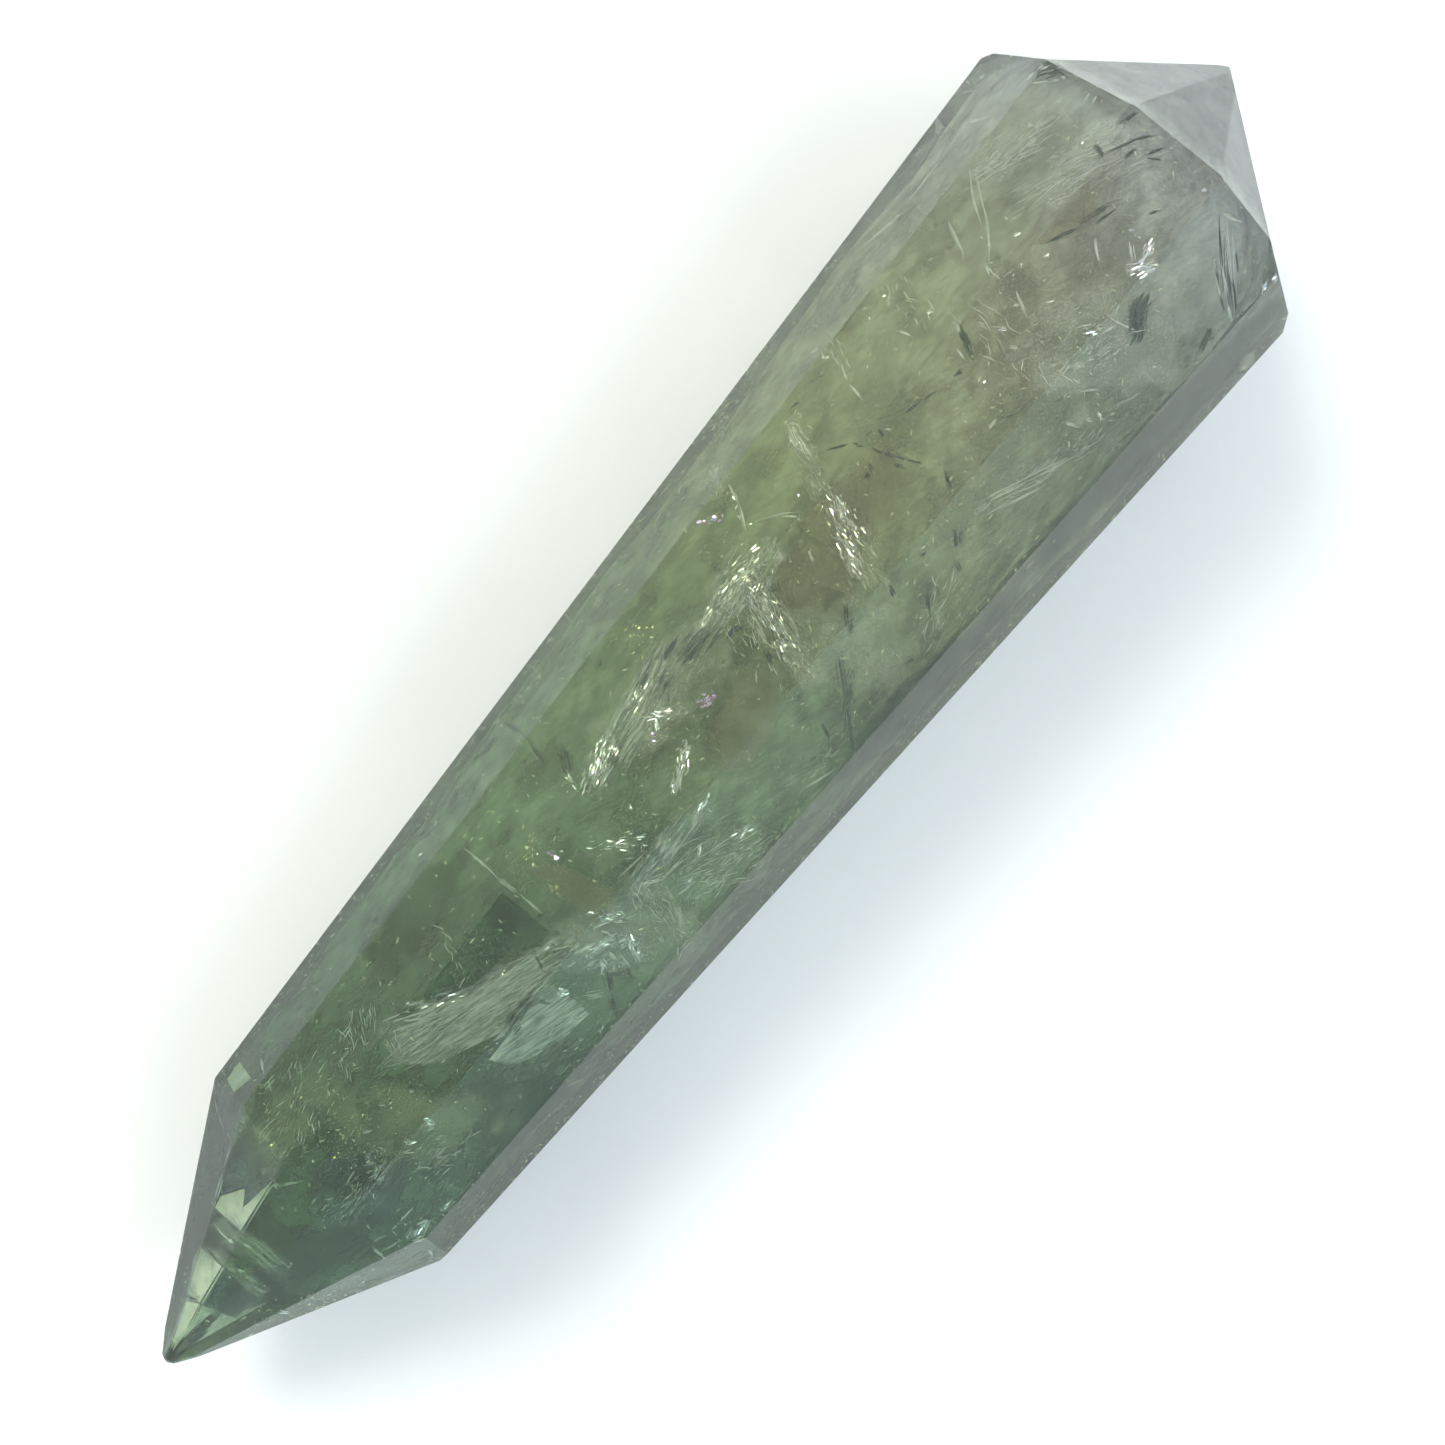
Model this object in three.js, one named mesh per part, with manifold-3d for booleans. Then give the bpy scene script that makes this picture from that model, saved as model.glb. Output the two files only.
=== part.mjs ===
// A faceted prasiolite wand, a hand-cut double point of green quartz, lying on one of its long facets.
//
// The stone is one solid. Twelve long facets make a body that widens from the point to the shoulder,
// twelve steep facets make the long point on its narrow end, and twelve flat ones make the crown on
// its wide end. Each facet is ground away from a round blank at its own bearing, slope and depth, as
// a cutter does it, so the edges meet a little off true, as they do on the real stone.
//
// Units are millimetres. +Z is up, the stone lies along X with its crown at +X, and the origin is
// under the middle of the box around it, on the surface that it rests on.

import * as THREE from "three";
import { mergeVertices } from "three/addons/utils/BufferGeometryUtils.js";
import Module from "manifold-3d";

// Sizes along the stone's axis, in millimetres. The girdles are where the body meets the two ends.
const BODY_LENGTH = 75.0;
const CROWN_HEIGHT = 10.9;
const POINT_LENGTH = 15.0;

// From the axis to the flat of a facet, at the two girdles.
const POINT_APOTHEM = 8.2;
const CROWN_APOTHEM = 12.15;

// How the facets stray from even cutting. Bearing is about the axis, in degrees, from the facet on
// top towards +Y. The turns are in degrees and the depths in millimetres, outwards.
// The facet at 180 is the one that the stone lies on.
const FACETS = [
  { bearing: 0.5, body: -0.1, crown: 0.15, crownTurn: 0.5, point: 0.15, pointTurn: -1 },
  { bearing: 30.5, body: -0.15, crown: 0, crownTurn: -0.5, point: 0, pointTurn: 2 },
  { bearing: 59, body: -0.2, crown: 0.05, crownTurn: 0, point: -0.2, pointTurn: -1 },
  { bearing: 87, body: 0, crown: 0, crownTurn: 0, point: 0, pointTurn: 0 },
  { bearing: 118.5, body: 0.15, crown: -0.2, crownTurn: 1, point: 0.1, pointTurn: 1 },
  { bearing: 149, body: -0.1, crown: 0.15, crownTurn: -0.5, point: -0.1, pointTurn: -1.5 },
  { bearing: 180, body: 0, crown: 0, crownTurn: 0.5, point: 0.15, pointTurn: 0.5 },
  { bearing: 210.5, body: 0.1, crown: 0.2, crownTurn: 0, point: -0.15, pointTurn: 0 },
  { bearing: 238.5, body: -0.15, crown: -0.15, crownTurn: -1, point: 0, pointTurn: 1.5 },
  { bearing: 267, body: 0.05, crown: 0, crownTurn: 0, point: 0, pointTurn: 0 },
  { bearing: 297.5, body: 0.35, crown: -0.45, crownTurn: 1, point: 0, pointTurn: 0.5 },
  { bearing: 329, body: 0.05, crown: 0.25, crownTurn: 0.5, point: -0.15, pointTurn: -0.5 },
];

// Wear: both points are blunt, and three corners of the shoulder are rubbed down. A ring of wear is
// given as how far it has turned from the axis towards the way that the end's own facets face.
const POINT_LOSS = 0.95;
const POINT_ROUNDING = 0.62;
const CROWN_LOSS = 0.2;
const CROWN_ROUNDING = 0.4;
const WEAR_RINGS = [0, 0.5, 0.9];
const WEAR_BEARINGS = 12;
const RUBBED_CORNERS = [
  { bearing: 282, depth: 0.4 },
  { bearing: 73, depth: 0.25 },
  { bearing: 195, depth: 0.3 },
];

// Polished green quartz, seen over a pale surface.
const QUARTZ_COLOUR = 0x7d8f70;
const QUARTZ_ROUGHNESS = 0.08;

const BLANK_RADIUS = 15;
const BLANK_SIDES = 48;
const BLANK_LENGTH = POINT_LENGTH + BODY_LENGTH + CROWN_HEIGHT;
const CUTTER_SIZE = 2 * BLANK_LENGTH;

// How far each ring of facets leans from facing straight out, towards +X, in radians.
const BODY_LEAN = -Math.atan2(CROWN_APOTHEM - POINT_APOTHEM, BODY_LENGTH);
const CROWN_LEAN = Math.atan2(CROWN_APOTHEM, CROWN_HEIGHT);
const POINT_LEAN = -Math.atan2(POINT_APOTHEM, POINT_LENGTH);
const RUBBED_LEAN = (BODY_LEAN + CROWN_LEAN) / 2;
const CORNER_RADIUS = CROWN_APOTHEM / Math.cos(Math.PI / FACETS.length);

const wasm = await Module();
wasm.setup();

function solidOf(geometry) {
  geometry.deleteAttribute("normal");
  geometry.deleteAttribute("uv");
  const merged = mergeVertices(geometry);
  return new wasm.Manifold(
    new wasm.Mesh({
      numProp: 3,
      vertProperties: merged.attributes.position.array,
      triVerts: new Uint32Array(merged.index.array),
    }),
  );
}

function geometryOf(solid) {
  const mesh = solid.getMesh();
  const geometry = new THREE.BufferGeometry();
  geometry.setAttribute("position", new THREE.BufferAttribute(mesh.vertProperties, 3));
  geometry.setIndex(new THREE.BufferAttribute(mesh.triVerts, 1));
  return geometry;
}

// The direction that faces away from the axis at a bearing and leans towards +X by an angle.
function outward(bearing, lean) {
  const turn = THREE.MathUtils.degToRad(bearing);
  return new THREE.Vector3(
    Math.sin(lean),
    Math.cos(lean) * Math.sin(turn),
    Math.cos(lean) * Math.cos(turn),
  );
}

// Takes away all that lies outside the plane through a place, facing a direction.
function grind(stone, place, facing) {
  const cutter = new THREE.BoxGeometry(CUTTER_SIZE, CUTTER_SIZE, CUTTER_SIZE);
  const turn = new THREE.Quaternion().setFromUnitVectors(new THREE.Vector3(0, 0, 1), facing);
  const middle = place.clone().addScaledVector(facing, CUTTER_SIZE / 2);
  cutter.applyQuaternion(turn);
  cutter.translate(middle.x, middle.y, middle.z);
  return stone.subtract(solidOf(cutter));
}

// Grinds one facet, given its distance from the axis at a girdle and its lean there.
function grindFacet(stone, girdle, distance, bearing, lean) {
  const place = outward(bearing, 0).multiplyScalar(distance);
  place.x = girdle;
  return grind(stone, place, outward(bearing, lean));
}

function roundBlank() {
  const blank = new THREE.CylinderGeometry(BLANK_RADIUS, BLANK_RADIUS, BLANK_LENGTH, BLANK_SIDES);
  blank.rotateZ(Math.PI / 2);
  blank.translate(BLANK_LENGTH / 2 - POINT_LENGTH, 0, 0);
  return solidOf(blank);
}

function grindBody(stone) {
  for (const facet of FACETS) {
    stone = grindFacet(stone, 0, POINT_APOTHEM + facet.body, facet.bearing, BODY_LEAN);
  }
  return stone;
}

function grindCrown(stone) {
  for (const facet of FACETS) {
    const bearing = facet.bearing + facet.crownTurn;
    stone = grindFacet(stone, BODY_LENGTH, CROWN_APOTHEM + facet.crown, bearing, CROWN_LEAN);
  }
  return stone;
}

function grindPoint(stone) {
  for (const facet of FACETS) {
    const bearing = facet.bearing + facet.pointTurn;
    stone = grindFacet(stone, 0, POINT_APOTHEM + facet.point, bearing, POINT_LEAN);
  }
  return stone;
}

// Rounds an end off with small planes that touch a ball, rings of them around the axis. The end is
// where its facets would meet, and its lean is theirs.
function wearEnd(stone, end, lean, loss, rounding) {
  const towards = Math.sign(lean);
  const middle = new THREE.Vector3(end - towards * (loss + rounding), 0, 0);
  for (const ring of WEAR_RINGS) {
    const ringLean = THREE.MathUtils.lerp(towards * (Math.PI / 2), lean, ring);
    for (let step = 0; step < WEAR_BEARINGS; step += 1) {
      const facing = outward((360 * step) / WEAR_BEARINGS, ringLean);
      stone = grind(stone, middle.clone().addScaledVector(facing, rounding), facing);
    }
  }
  return stone;
}

// Takes a little off a corner of the shoulder, half way between the body's lean and the crown's.
function rubCorner(stone, corner) {
  const facing = outward(corner.bearing, RUBBED_LEAN);
  const place = outward(corner.bearing, 0).multiplyScalar(CORNER_RADIUS);
  place.x = BODY_LENGTH;
  return grind(stone, place.addScaledVector(facing, -corner.depth), facing);
}

function cutStone() {
  let stone = grindPoint(grindCrown(grindBody(roundBlank())));
  stone = wearEnd(stone, -POINT_LENGTH, POINT_LEAN, POINT_LOSS, POINT_ROUNDING);
  stone = wearEnd(stone, BODY_LENGTH + CROWN_HEIGHT, CROWN_LEAN, CROWN_LOSS, CROWN_ROUNDING);
  return RUBBED_CORNERS.reduce(rubCorner, stone);
}

function quartz() {
  return new THREE.MeshStandardMaterial({
    name: "prasiolite",
    color: QUARTZ_COLOUR,
    roughness: QUARTZ_ROUGHNESS,
    metalness: 0,
    flatShading: true,
  });
}

// The taper lifts the crown end, so that the facet at 180 lies flat.
function layDown(mesh) {
  mesh.rotation.y = BODY_LEAN;
  const box = new THREE.Box3().setFromObject(mesh, true);
  const middle = box.getCenter(new THREE.Vector3());
  mesh.position.set(-middle.x, -middle.y, -box.min.z);
}

const wand = new THREE.Mesh(geometryOf(cutStone()), quartz());
wand.name = "wand";
layDown(wand);

const part = new THREE.Group();
part.add(wand);

export default part;
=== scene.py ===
import math
import random

import bpy
from bpy.props import FloatProperty, FloatVectorProperty, IntProperty, PointerProperty
from bpy.types import Operator, Panel, PropertyGroup
from mathutils import Euler, Matrix, Vector, noise
from mathutils.bvhtree import BVHTree


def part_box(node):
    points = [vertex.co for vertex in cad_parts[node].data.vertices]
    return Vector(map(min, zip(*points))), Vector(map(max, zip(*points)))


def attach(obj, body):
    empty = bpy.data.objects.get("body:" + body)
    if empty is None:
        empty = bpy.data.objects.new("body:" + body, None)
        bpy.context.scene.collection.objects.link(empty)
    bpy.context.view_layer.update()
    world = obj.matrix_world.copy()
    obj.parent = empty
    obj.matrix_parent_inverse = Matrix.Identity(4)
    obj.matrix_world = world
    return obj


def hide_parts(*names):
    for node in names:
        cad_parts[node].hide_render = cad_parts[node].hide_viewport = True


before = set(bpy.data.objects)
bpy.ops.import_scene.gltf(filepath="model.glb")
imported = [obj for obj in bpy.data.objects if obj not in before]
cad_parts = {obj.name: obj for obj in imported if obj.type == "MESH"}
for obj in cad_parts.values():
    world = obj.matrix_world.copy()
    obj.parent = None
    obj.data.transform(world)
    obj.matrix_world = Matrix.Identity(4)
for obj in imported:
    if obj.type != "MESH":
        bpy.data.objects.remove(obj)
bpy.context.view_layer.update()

bl_info = {
    "name": "Faceted prasiolite wand",
    "version": (1, 0, 0),
    "blender": (4, 5, 0),
    "location": "3D View > Sidebar > Wand",
    "description": "A hand-cut wand of green quartz with the veils, cracks and glints inside it",
    "category": "Add Mesh",
}

# The frame's own sizes. The stone lies along X with its point at -X and its crown at +X.
BODY = "root"
NODE = "wand"
LOW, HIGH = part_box(NODE)
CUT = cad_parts[NODE].data
SURFACE = BVHTree.FromPolygons([v.co for v in CUT.vertices], [p.vertices for p in CUT.polygons])
LENGTH = HIGH.x - LOW.x

MM = 0.001
QUARTZ_IOR = 1.544

# A face of the stone that faces further along X than these belongs to the point or to the crown.
POINT_FACING = -0.25
CROWN_FACING = 0.3

# The finish changes to the crown's between these shares of the length.
CROWN_START = 0.888
CROWN_FULL = 0.902

# The tint that the quartz gives to light that passes through it, and how fast, for each metre.
BODY_TINT = (0.56, 0.66, 0.50, 1.0)
BODY_DENSITY = 25.0

# Where the axis runs: its height above the floor at the point and at the crown, read off the frame.
POINT_HEIGHT = min((v.co for v in CUT.vertices), key=lambda place: place.x).z
CROWN_HEIGHT = max((v.co for v in CUT.vertices), key=lambda place: place.x).z

# How near the surface things inside may come: the middle of a grain in a cluster, the middle of a
# loose one, any corner of a grain, and a sheet.
GRAIN_SKIN = 0.15 * MM
LOOSE_SKIN = 0.3 * MM
CORNER_SKIN = 0.05 * MM
SHEET_SKIN = 0.1 * MM

# The share of a sheet's half width over which it fades out to its outline.
SHEET_FADE = 0.45

# A scale's outline has this many corners.
FLAKE_SIDES = 7

# Most of the loose specks lie no deeper than this, where the eye can make them out.
SPECK_DEPTH = 2.5 * MM
DEEP_SHARE = 0.2

# The colours of the quartz, by millimetres from the point: clear, deep inside, and where it is cloudy.
ZONE_STRAY = 6.0 * MM
CLEAR = [
    (0, "#c3cdc2"),
    (12, "#a3b8a2"),
    (30, "#adbfa6"),
    (60, "#c3cbb0"),
    (80, "#d0d4c8"),
    (90, "#ced5d6"),
]
DEEP = [
    (3, "#2f4a3c"),
    (12, "#24402e"),
    (22, "#34543c"),
    (36, "#5a7a5d"),
    (50, "#6e8566"),
    (61, "#8b9774"),
    (72, "#90957d"),
    (82, "#999b8b"),
    (90, "#b7b9af"),
    (96, "#c5cccc"),
]
CLOUDY = [
    (3, "#8fa998"),
    (12, "#78967b"),
    (22, "#8ead8e"),
    (36, "#b0c8aa"),
    (50, "#bdceac"),
    (61, "#d0d8b6"),
    (72, "#d2d6bb"),
    (82, "#d8d9ca"),
    (90, "#eeefe7"),
    (96, "#f4f8f7"),
]
# Skins of cloudy quartz: where each starts and ends in millimetres, its share of the way out, its
# thinnest and thickest cover, its colours and a seed.
CLOUDS = {
    "cloud_outer": (6.0, 98.5, 0.90, 0.0, 0.22, CLOUDY, 3.0),
    "cloud_middle": (6.0, 97.0, 0.64, 0.36, 0.74, CLOUDY, 17.0),
    "cloud_core": (4.0, 95.0, 0.42, 0.8, 1.0, DEEP, 29.0),
}
# How far the lumps of a skin push it in and out, how wide they are, and how far out it may come.
CLOUD_LUMPS = 0.06
COARSE_LUMP = 7.0 * MM
FINE_LUMP = 3.0 * MM
MOST_FILL = 0.95
# The shares of its length over which a skin fades in and closes up, at the point and at the crown.
POINT_FADE = 0.06
CROWN_FADE = 0.01
POINT_CLOSE = 0.04
CROWN_CLOSE = 0.02

# Glints, needles and tufts, in clusters. Each is where the camera sees it (millimetres from the
# point, millimetres from the axis, depth), three radii, which way its grains lie, and how many.
MIRROR_GLINTS = [
    ((41.8, 2.7, 1.2), (1.9, 0.8, 0.5), 18, 110),
    ((43.4, 3.3, 1.4), (1.2, 0.6, 0.4), 10, 30),
    ((46.9, 1.5, 1.4), (1.3, 0.5, 0.4), -40, 46),
    ((45.4, -0.9, 1.4), (1.2, 0.5, 0.4), 29, 40),
    ((43.9, -1.5, 1.2), (1.0, 0.3, 0.3), 25, 22),
    ((46.0, 1.7, 1.4), (0.8, 0.2, 0.3), -131, 14),
    ((56.0, 3.3, 1.5), (2.2, 1.3, 0.6), -5, 120),
    ((55.3, 0.8, 1.5), (1.8, 0.9, 0.6), -101, 70),
    ((54.5, -1.4, 1.5), (1.8, 0.8, 0.6), -111, 64),
    ((52.2, 3.3, 1.4), (1.6, 0.5, 0.4), 5, 40),
    ((59.7, 8.4, 0.9), (1.2, 0.4, 0.4), -106, 30),
    ((59.2, 6.5, 1.1), (1.4, 0.2, 0.3), -121, 12),
    ((62.7, 1.2, 1.2), (1.8, 0.8, 0.5), -111, 60),
    ((60.9, -1.1, 1.4), (1.8, 0.5, 0.5), -111, 46),
    ((64.4, 5.7, 1.2), (1.4, 0.4, 0.4), -111, 18),
    ((86.3, -3.4, 1.1), (0.9, 0.5, 0.3), -30, 60),
    ((87.5, -3.0, 1.1), (0.6, 0.3, 0.3), 19, 20),
    ((91.2, -10.1, 0.7), (0.4, 0.2, 0.2), 9, 12),
    ((90.3, -9.9, 0.7), (0.3, 0.2, 0.2), 9, 6),
    ((90.6, 10.6, 0.7), (0.6, 0.2, 0.2), 49, 8),
    ((14.6, -6.4, 0.7), (0.9, 0.3, 0.3), -16, 16),
    ((17.2, -8.3, 0.7), (0.7, 0.3, 0.3), 9, 10),
    ((30.4, -4.1, 1.1), (0.2, 0.2, 0.1), -51, 6),
    ((19.6, -3.1, 1.0), (0.3, 0.3, 0.2), -51, 8),
    ((35.3, -3.4, 1.5), (1.6, 0.3, 0.4), -51, 34),
    ((34.9, -5.5, 1.5), (1.2, 0.4, 0.4), -110, 30),
    ((33.8, -4.1, 1.5), (1.2, 0.5, 0.4), -21, 28),
    ((39.1, -1.3, 1.5), (2.2, 1.0, 0.6), -50, 40),
    ((46.8, 3.6, 1.5), (2.0, 0.7, 0.5), 10, 30),
    ((31.6, -1.7, 1.4), (1.5, 0.3, 0.4), -21, 26),
    ((44.4, -6.4, 1.2), (1.0, 0.4, 0.4), -21, 20),
    ((40.0, -5.8, 1.2), (0.8, 0.2, 0.3), -16, 10),
    ((43.9, -3.5, 1.2), (0.8, 0.2, 0.3), 14, 14),
    ((41.8, -5.1, 1.2), (0.6, 0.3, 0.3), 29, 9),
    ((51.9, -8.8, 0.9), (0.8, 0.1, 0.2), 21, 9),
    ((40.2, 3.5, 1.2), (0.8, 0.2, 0.3), -112, 14),
    ((30.2, -4.2, 1.0), (0.3, 0.2, 0.1), -51, 14),
    ((24.6, 1.8, 1.1), (0.5, 0.3, 0.2), -41, 12),
    ((26.1, 0.7, 1.2), (1.2, 0.5, 0.3), -31, 14),
    ((62.2, 0.2, 1.2), (2.0, 1.0, 0.4), -111, 40),
    ((61.2, -0.7, 1.3), (1.4, 0.5, 0.3), -106, 30),
    ((33.0, -5.0, 1.1), (0.5, 0.3, 0.2), -110, 10),
    ((69.4, 8.5, 0.9), (0.1, 0.1, 0.1), -50, 4),
    ((69.4, 7.8, 0.9), (0.1, 0.1, 0.1), -50, 4),
    ((75.7, 4.8, 0.9), (0.2, 0.2, 0.1), -50, 5),
    ((77.5, -7.1, 0.9), (0.3, 0.1, 0.1), -111, 6),
    ((19.7, -3.0, 1.0), (0.3, 0.3, 0.2), -41, 12),
    ((17.0, -0.5, 1.0), (0.1, 0.1, 0.1), -41, 4),
    ((18.1, -2.7, 1.0), (0.2, 0.1, 0.1), -41, 4),
    ((18.7, -0.2, 1.0), (0.1, 0.1, 0.1), -41, 4),
    ((20.4, -1.0, 1.0), (0.1, 0.1, 0.1), -41, 4),
    ((19.2, 3.2, 1.0), (0.1, 0.1, 0.1), -41, 4),
    ((16.6, -6.8, 0.8), (0.3, 0.2, 0.1), -11, 6),
    ((87.7, -1.5, 0.9), (0.1, 0.1, 0.1), -49, 4),
    ((92.6, -3.4, 0.8), (0.1, 0.1, 0.1), -49, 4),
    ((83.0, 1.5, 0.9), (0.1, 0.1, 0.1), -49, 4),
    ((79.5, 1.0, 0.9), (0.1, 0.1, 0.1), -50, 4),
    ((81.0, -0.4, 0.9), (0.1, 0.1, 0.1), -50, 4),
    ((77.8, 0.7, 0.9), (0.1, 0.1, 0.1), -50, 4),
    ((81.1, -3.7, 0.9), (0.1, 0.1, 0.1), -50, 4),
    ((82.9, 3.7, 0.9), (0.1, 0.1, 0.1), -49, 4),
]
LONG_STREAKS = [
    ((24.7, -0.3, 1.2), (5.5, 1.3, 0.4), -18, 70),
    ((29.1, -1.9, 1.2), (3.5, 0.9, 0.4), -16, 40),
    ((27.8, -4.9, 1.4), (2.6, 1.2, 0.4), -19, 36),
    ((86.9, 6.9, 1.0), (3.0, 0.8, 0.4), -22, 26),
    ((87.2, 3.8, 1.1), (4.5, 1.2, 0.4), -29, 18),
    ((90.5, 1.8, 1.1), (4.0, 1.6, 0.4), -25, 16),
    ((72.0, -6.8, 1.3), (4.5, 0.8, 0.4), -24, 12),
    ((42.6, -6.0, 1.3), (4.0, 2.0, 0.6), -19, 20),
    ((39.4, -4.0, 1.4), (3.0, 1.5, 0.5), -16, 12),
]
GOLD_GLINTS = [
    ((35.7, 2.5, 1.2), (1.3, 0.5, 0.4), 20, 30),
    ((34.7, 0.1, 1.4), (0.7, 0.4, 0.3), -90, 14),
    ((49.6, 5.9, 1.2), (1.8, 1.2, 0.5), -10, 40),
    ((16.8, -0.1, 1.4), (4.6, 2.6, 1.2), -11, 110),
    ((14.3, 3.0, 1.1), (2.6, 2.0, 0.8), 10, 46),
    ((39.4, -4.0, 1.4), (2.0, 0.8, 0.5), -51, 18),
]
TINTED_GLINTS = [
    ((49.0, 0.2, 1.4), (0.7, 0.4, 0.3), -30, 30),
    ((57.4, 6.8, 1.0), (0.9, 0.3, 0.2), -50, 26),
    ((36.1, 1.4, 1.2), (0.4, 0.2, 0.2), -80, 10),
    ((45.2, 1.2, 1.4), (0.3, 0.3, 0.2), -50, 5),
]
PALE_NEEDLES = [
    ((26.1, -0.6, 1.5), (5.0, 1.7, 0.7), -17, 50),
    ((27.5, -4.0, 1.6), (3.2, 1.4, 0.6), -19, 30),
    ((22.1, 3.6, 1.1), (1.0, 0.7, 0.4), 55, 22),
    ((21.8, 1.4, 1.2), (0.8, 0.6, 0.4), 60, 14),
    ((28.3, 2.9, 1.2), (1.5, 0.4, 0.4), -110, 14),
    ((16.2, 3.8, 1.1), (3.5, 2.6, 0.8), 10, 80),
    ((20.4, 3.6, 1.0), (2.2, 1.0, 0.6), 45, 34),
    ((37.4, -5.7, 1.6), (2.8, 1.3, 0.7), -105, 60),
    ((41.9, -6.7, 1.5), (3.2, 2.2, 0.7), -21, 80),
    ((49.8, -7.3, 1.1), (2.2, 0.8, 0.5), -21, 24),
    ((71.7, -6.2, 1.2), (3.5, 0.8, 0.5), -23, 26),
    ((86.8, 7.0, 1.0), (2.6, 0.8, 0.4), -22, 50),
    ((75.0, 6.6, 1.1), (4.0, 3.0, 0.8), -111, 44),
    ((77.6, 0.8, 1.4), (4.0, 3.0, 0.8), -96, 70),
    ((81.1, -3.4, 1.4), (3.0, 3.0, 0.8), -30, 60),
    ((76.7, -7.7, 1.1), (3.5, 1.2, 0.6), -10, 34),
    ((69.9, 7.9, 1.0), (2.5, 1.0, 0.5), -101, 20),
    ((18.9, -4.4, 1.2), (2.6, 1.6, 0.7), -21, 70),
    ((14.1, -2.1, 1.5), (2.6, 1.2, 0.6), -1, 50),
    ((53.7, 0.1, 1.7), (3.0, 2.0, 0.8), -111, 50),
    ((62.0, -7.1, 1.2), (3.0, 1.6, 0.7), 29, 60),
]
GREEN_TUFTS = [
    ((84.0, -5.0, 0.9), (1.0, 0.5, 0.3), 31, 70),
    ((83.1, -5.7, 0.9), (0.6, 0.3, 0.2), 31, 30),
    ((85.5, -9.2, 0.7), (0.6, 0.3, 0.2), 28, 30),
    ((40.9, 4.5, 1.0), (0.7, 0.3, 0.2), -120, 34),
    ((75.7, 2.0, 1.2), (0.8, 0.3, 0.3), -111, 22),
    ((55.5, -8.8, 0.9), (1.0, 0.3, 0.2), -121, 30),
    ((54.3, -6.2, 1.4), (2.2, 0.3, 0.3), -136, 36),
    ((38.8, 8.4, 0.7), (1.0, 0.5, 0.3), -30, 16),
]
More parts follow.
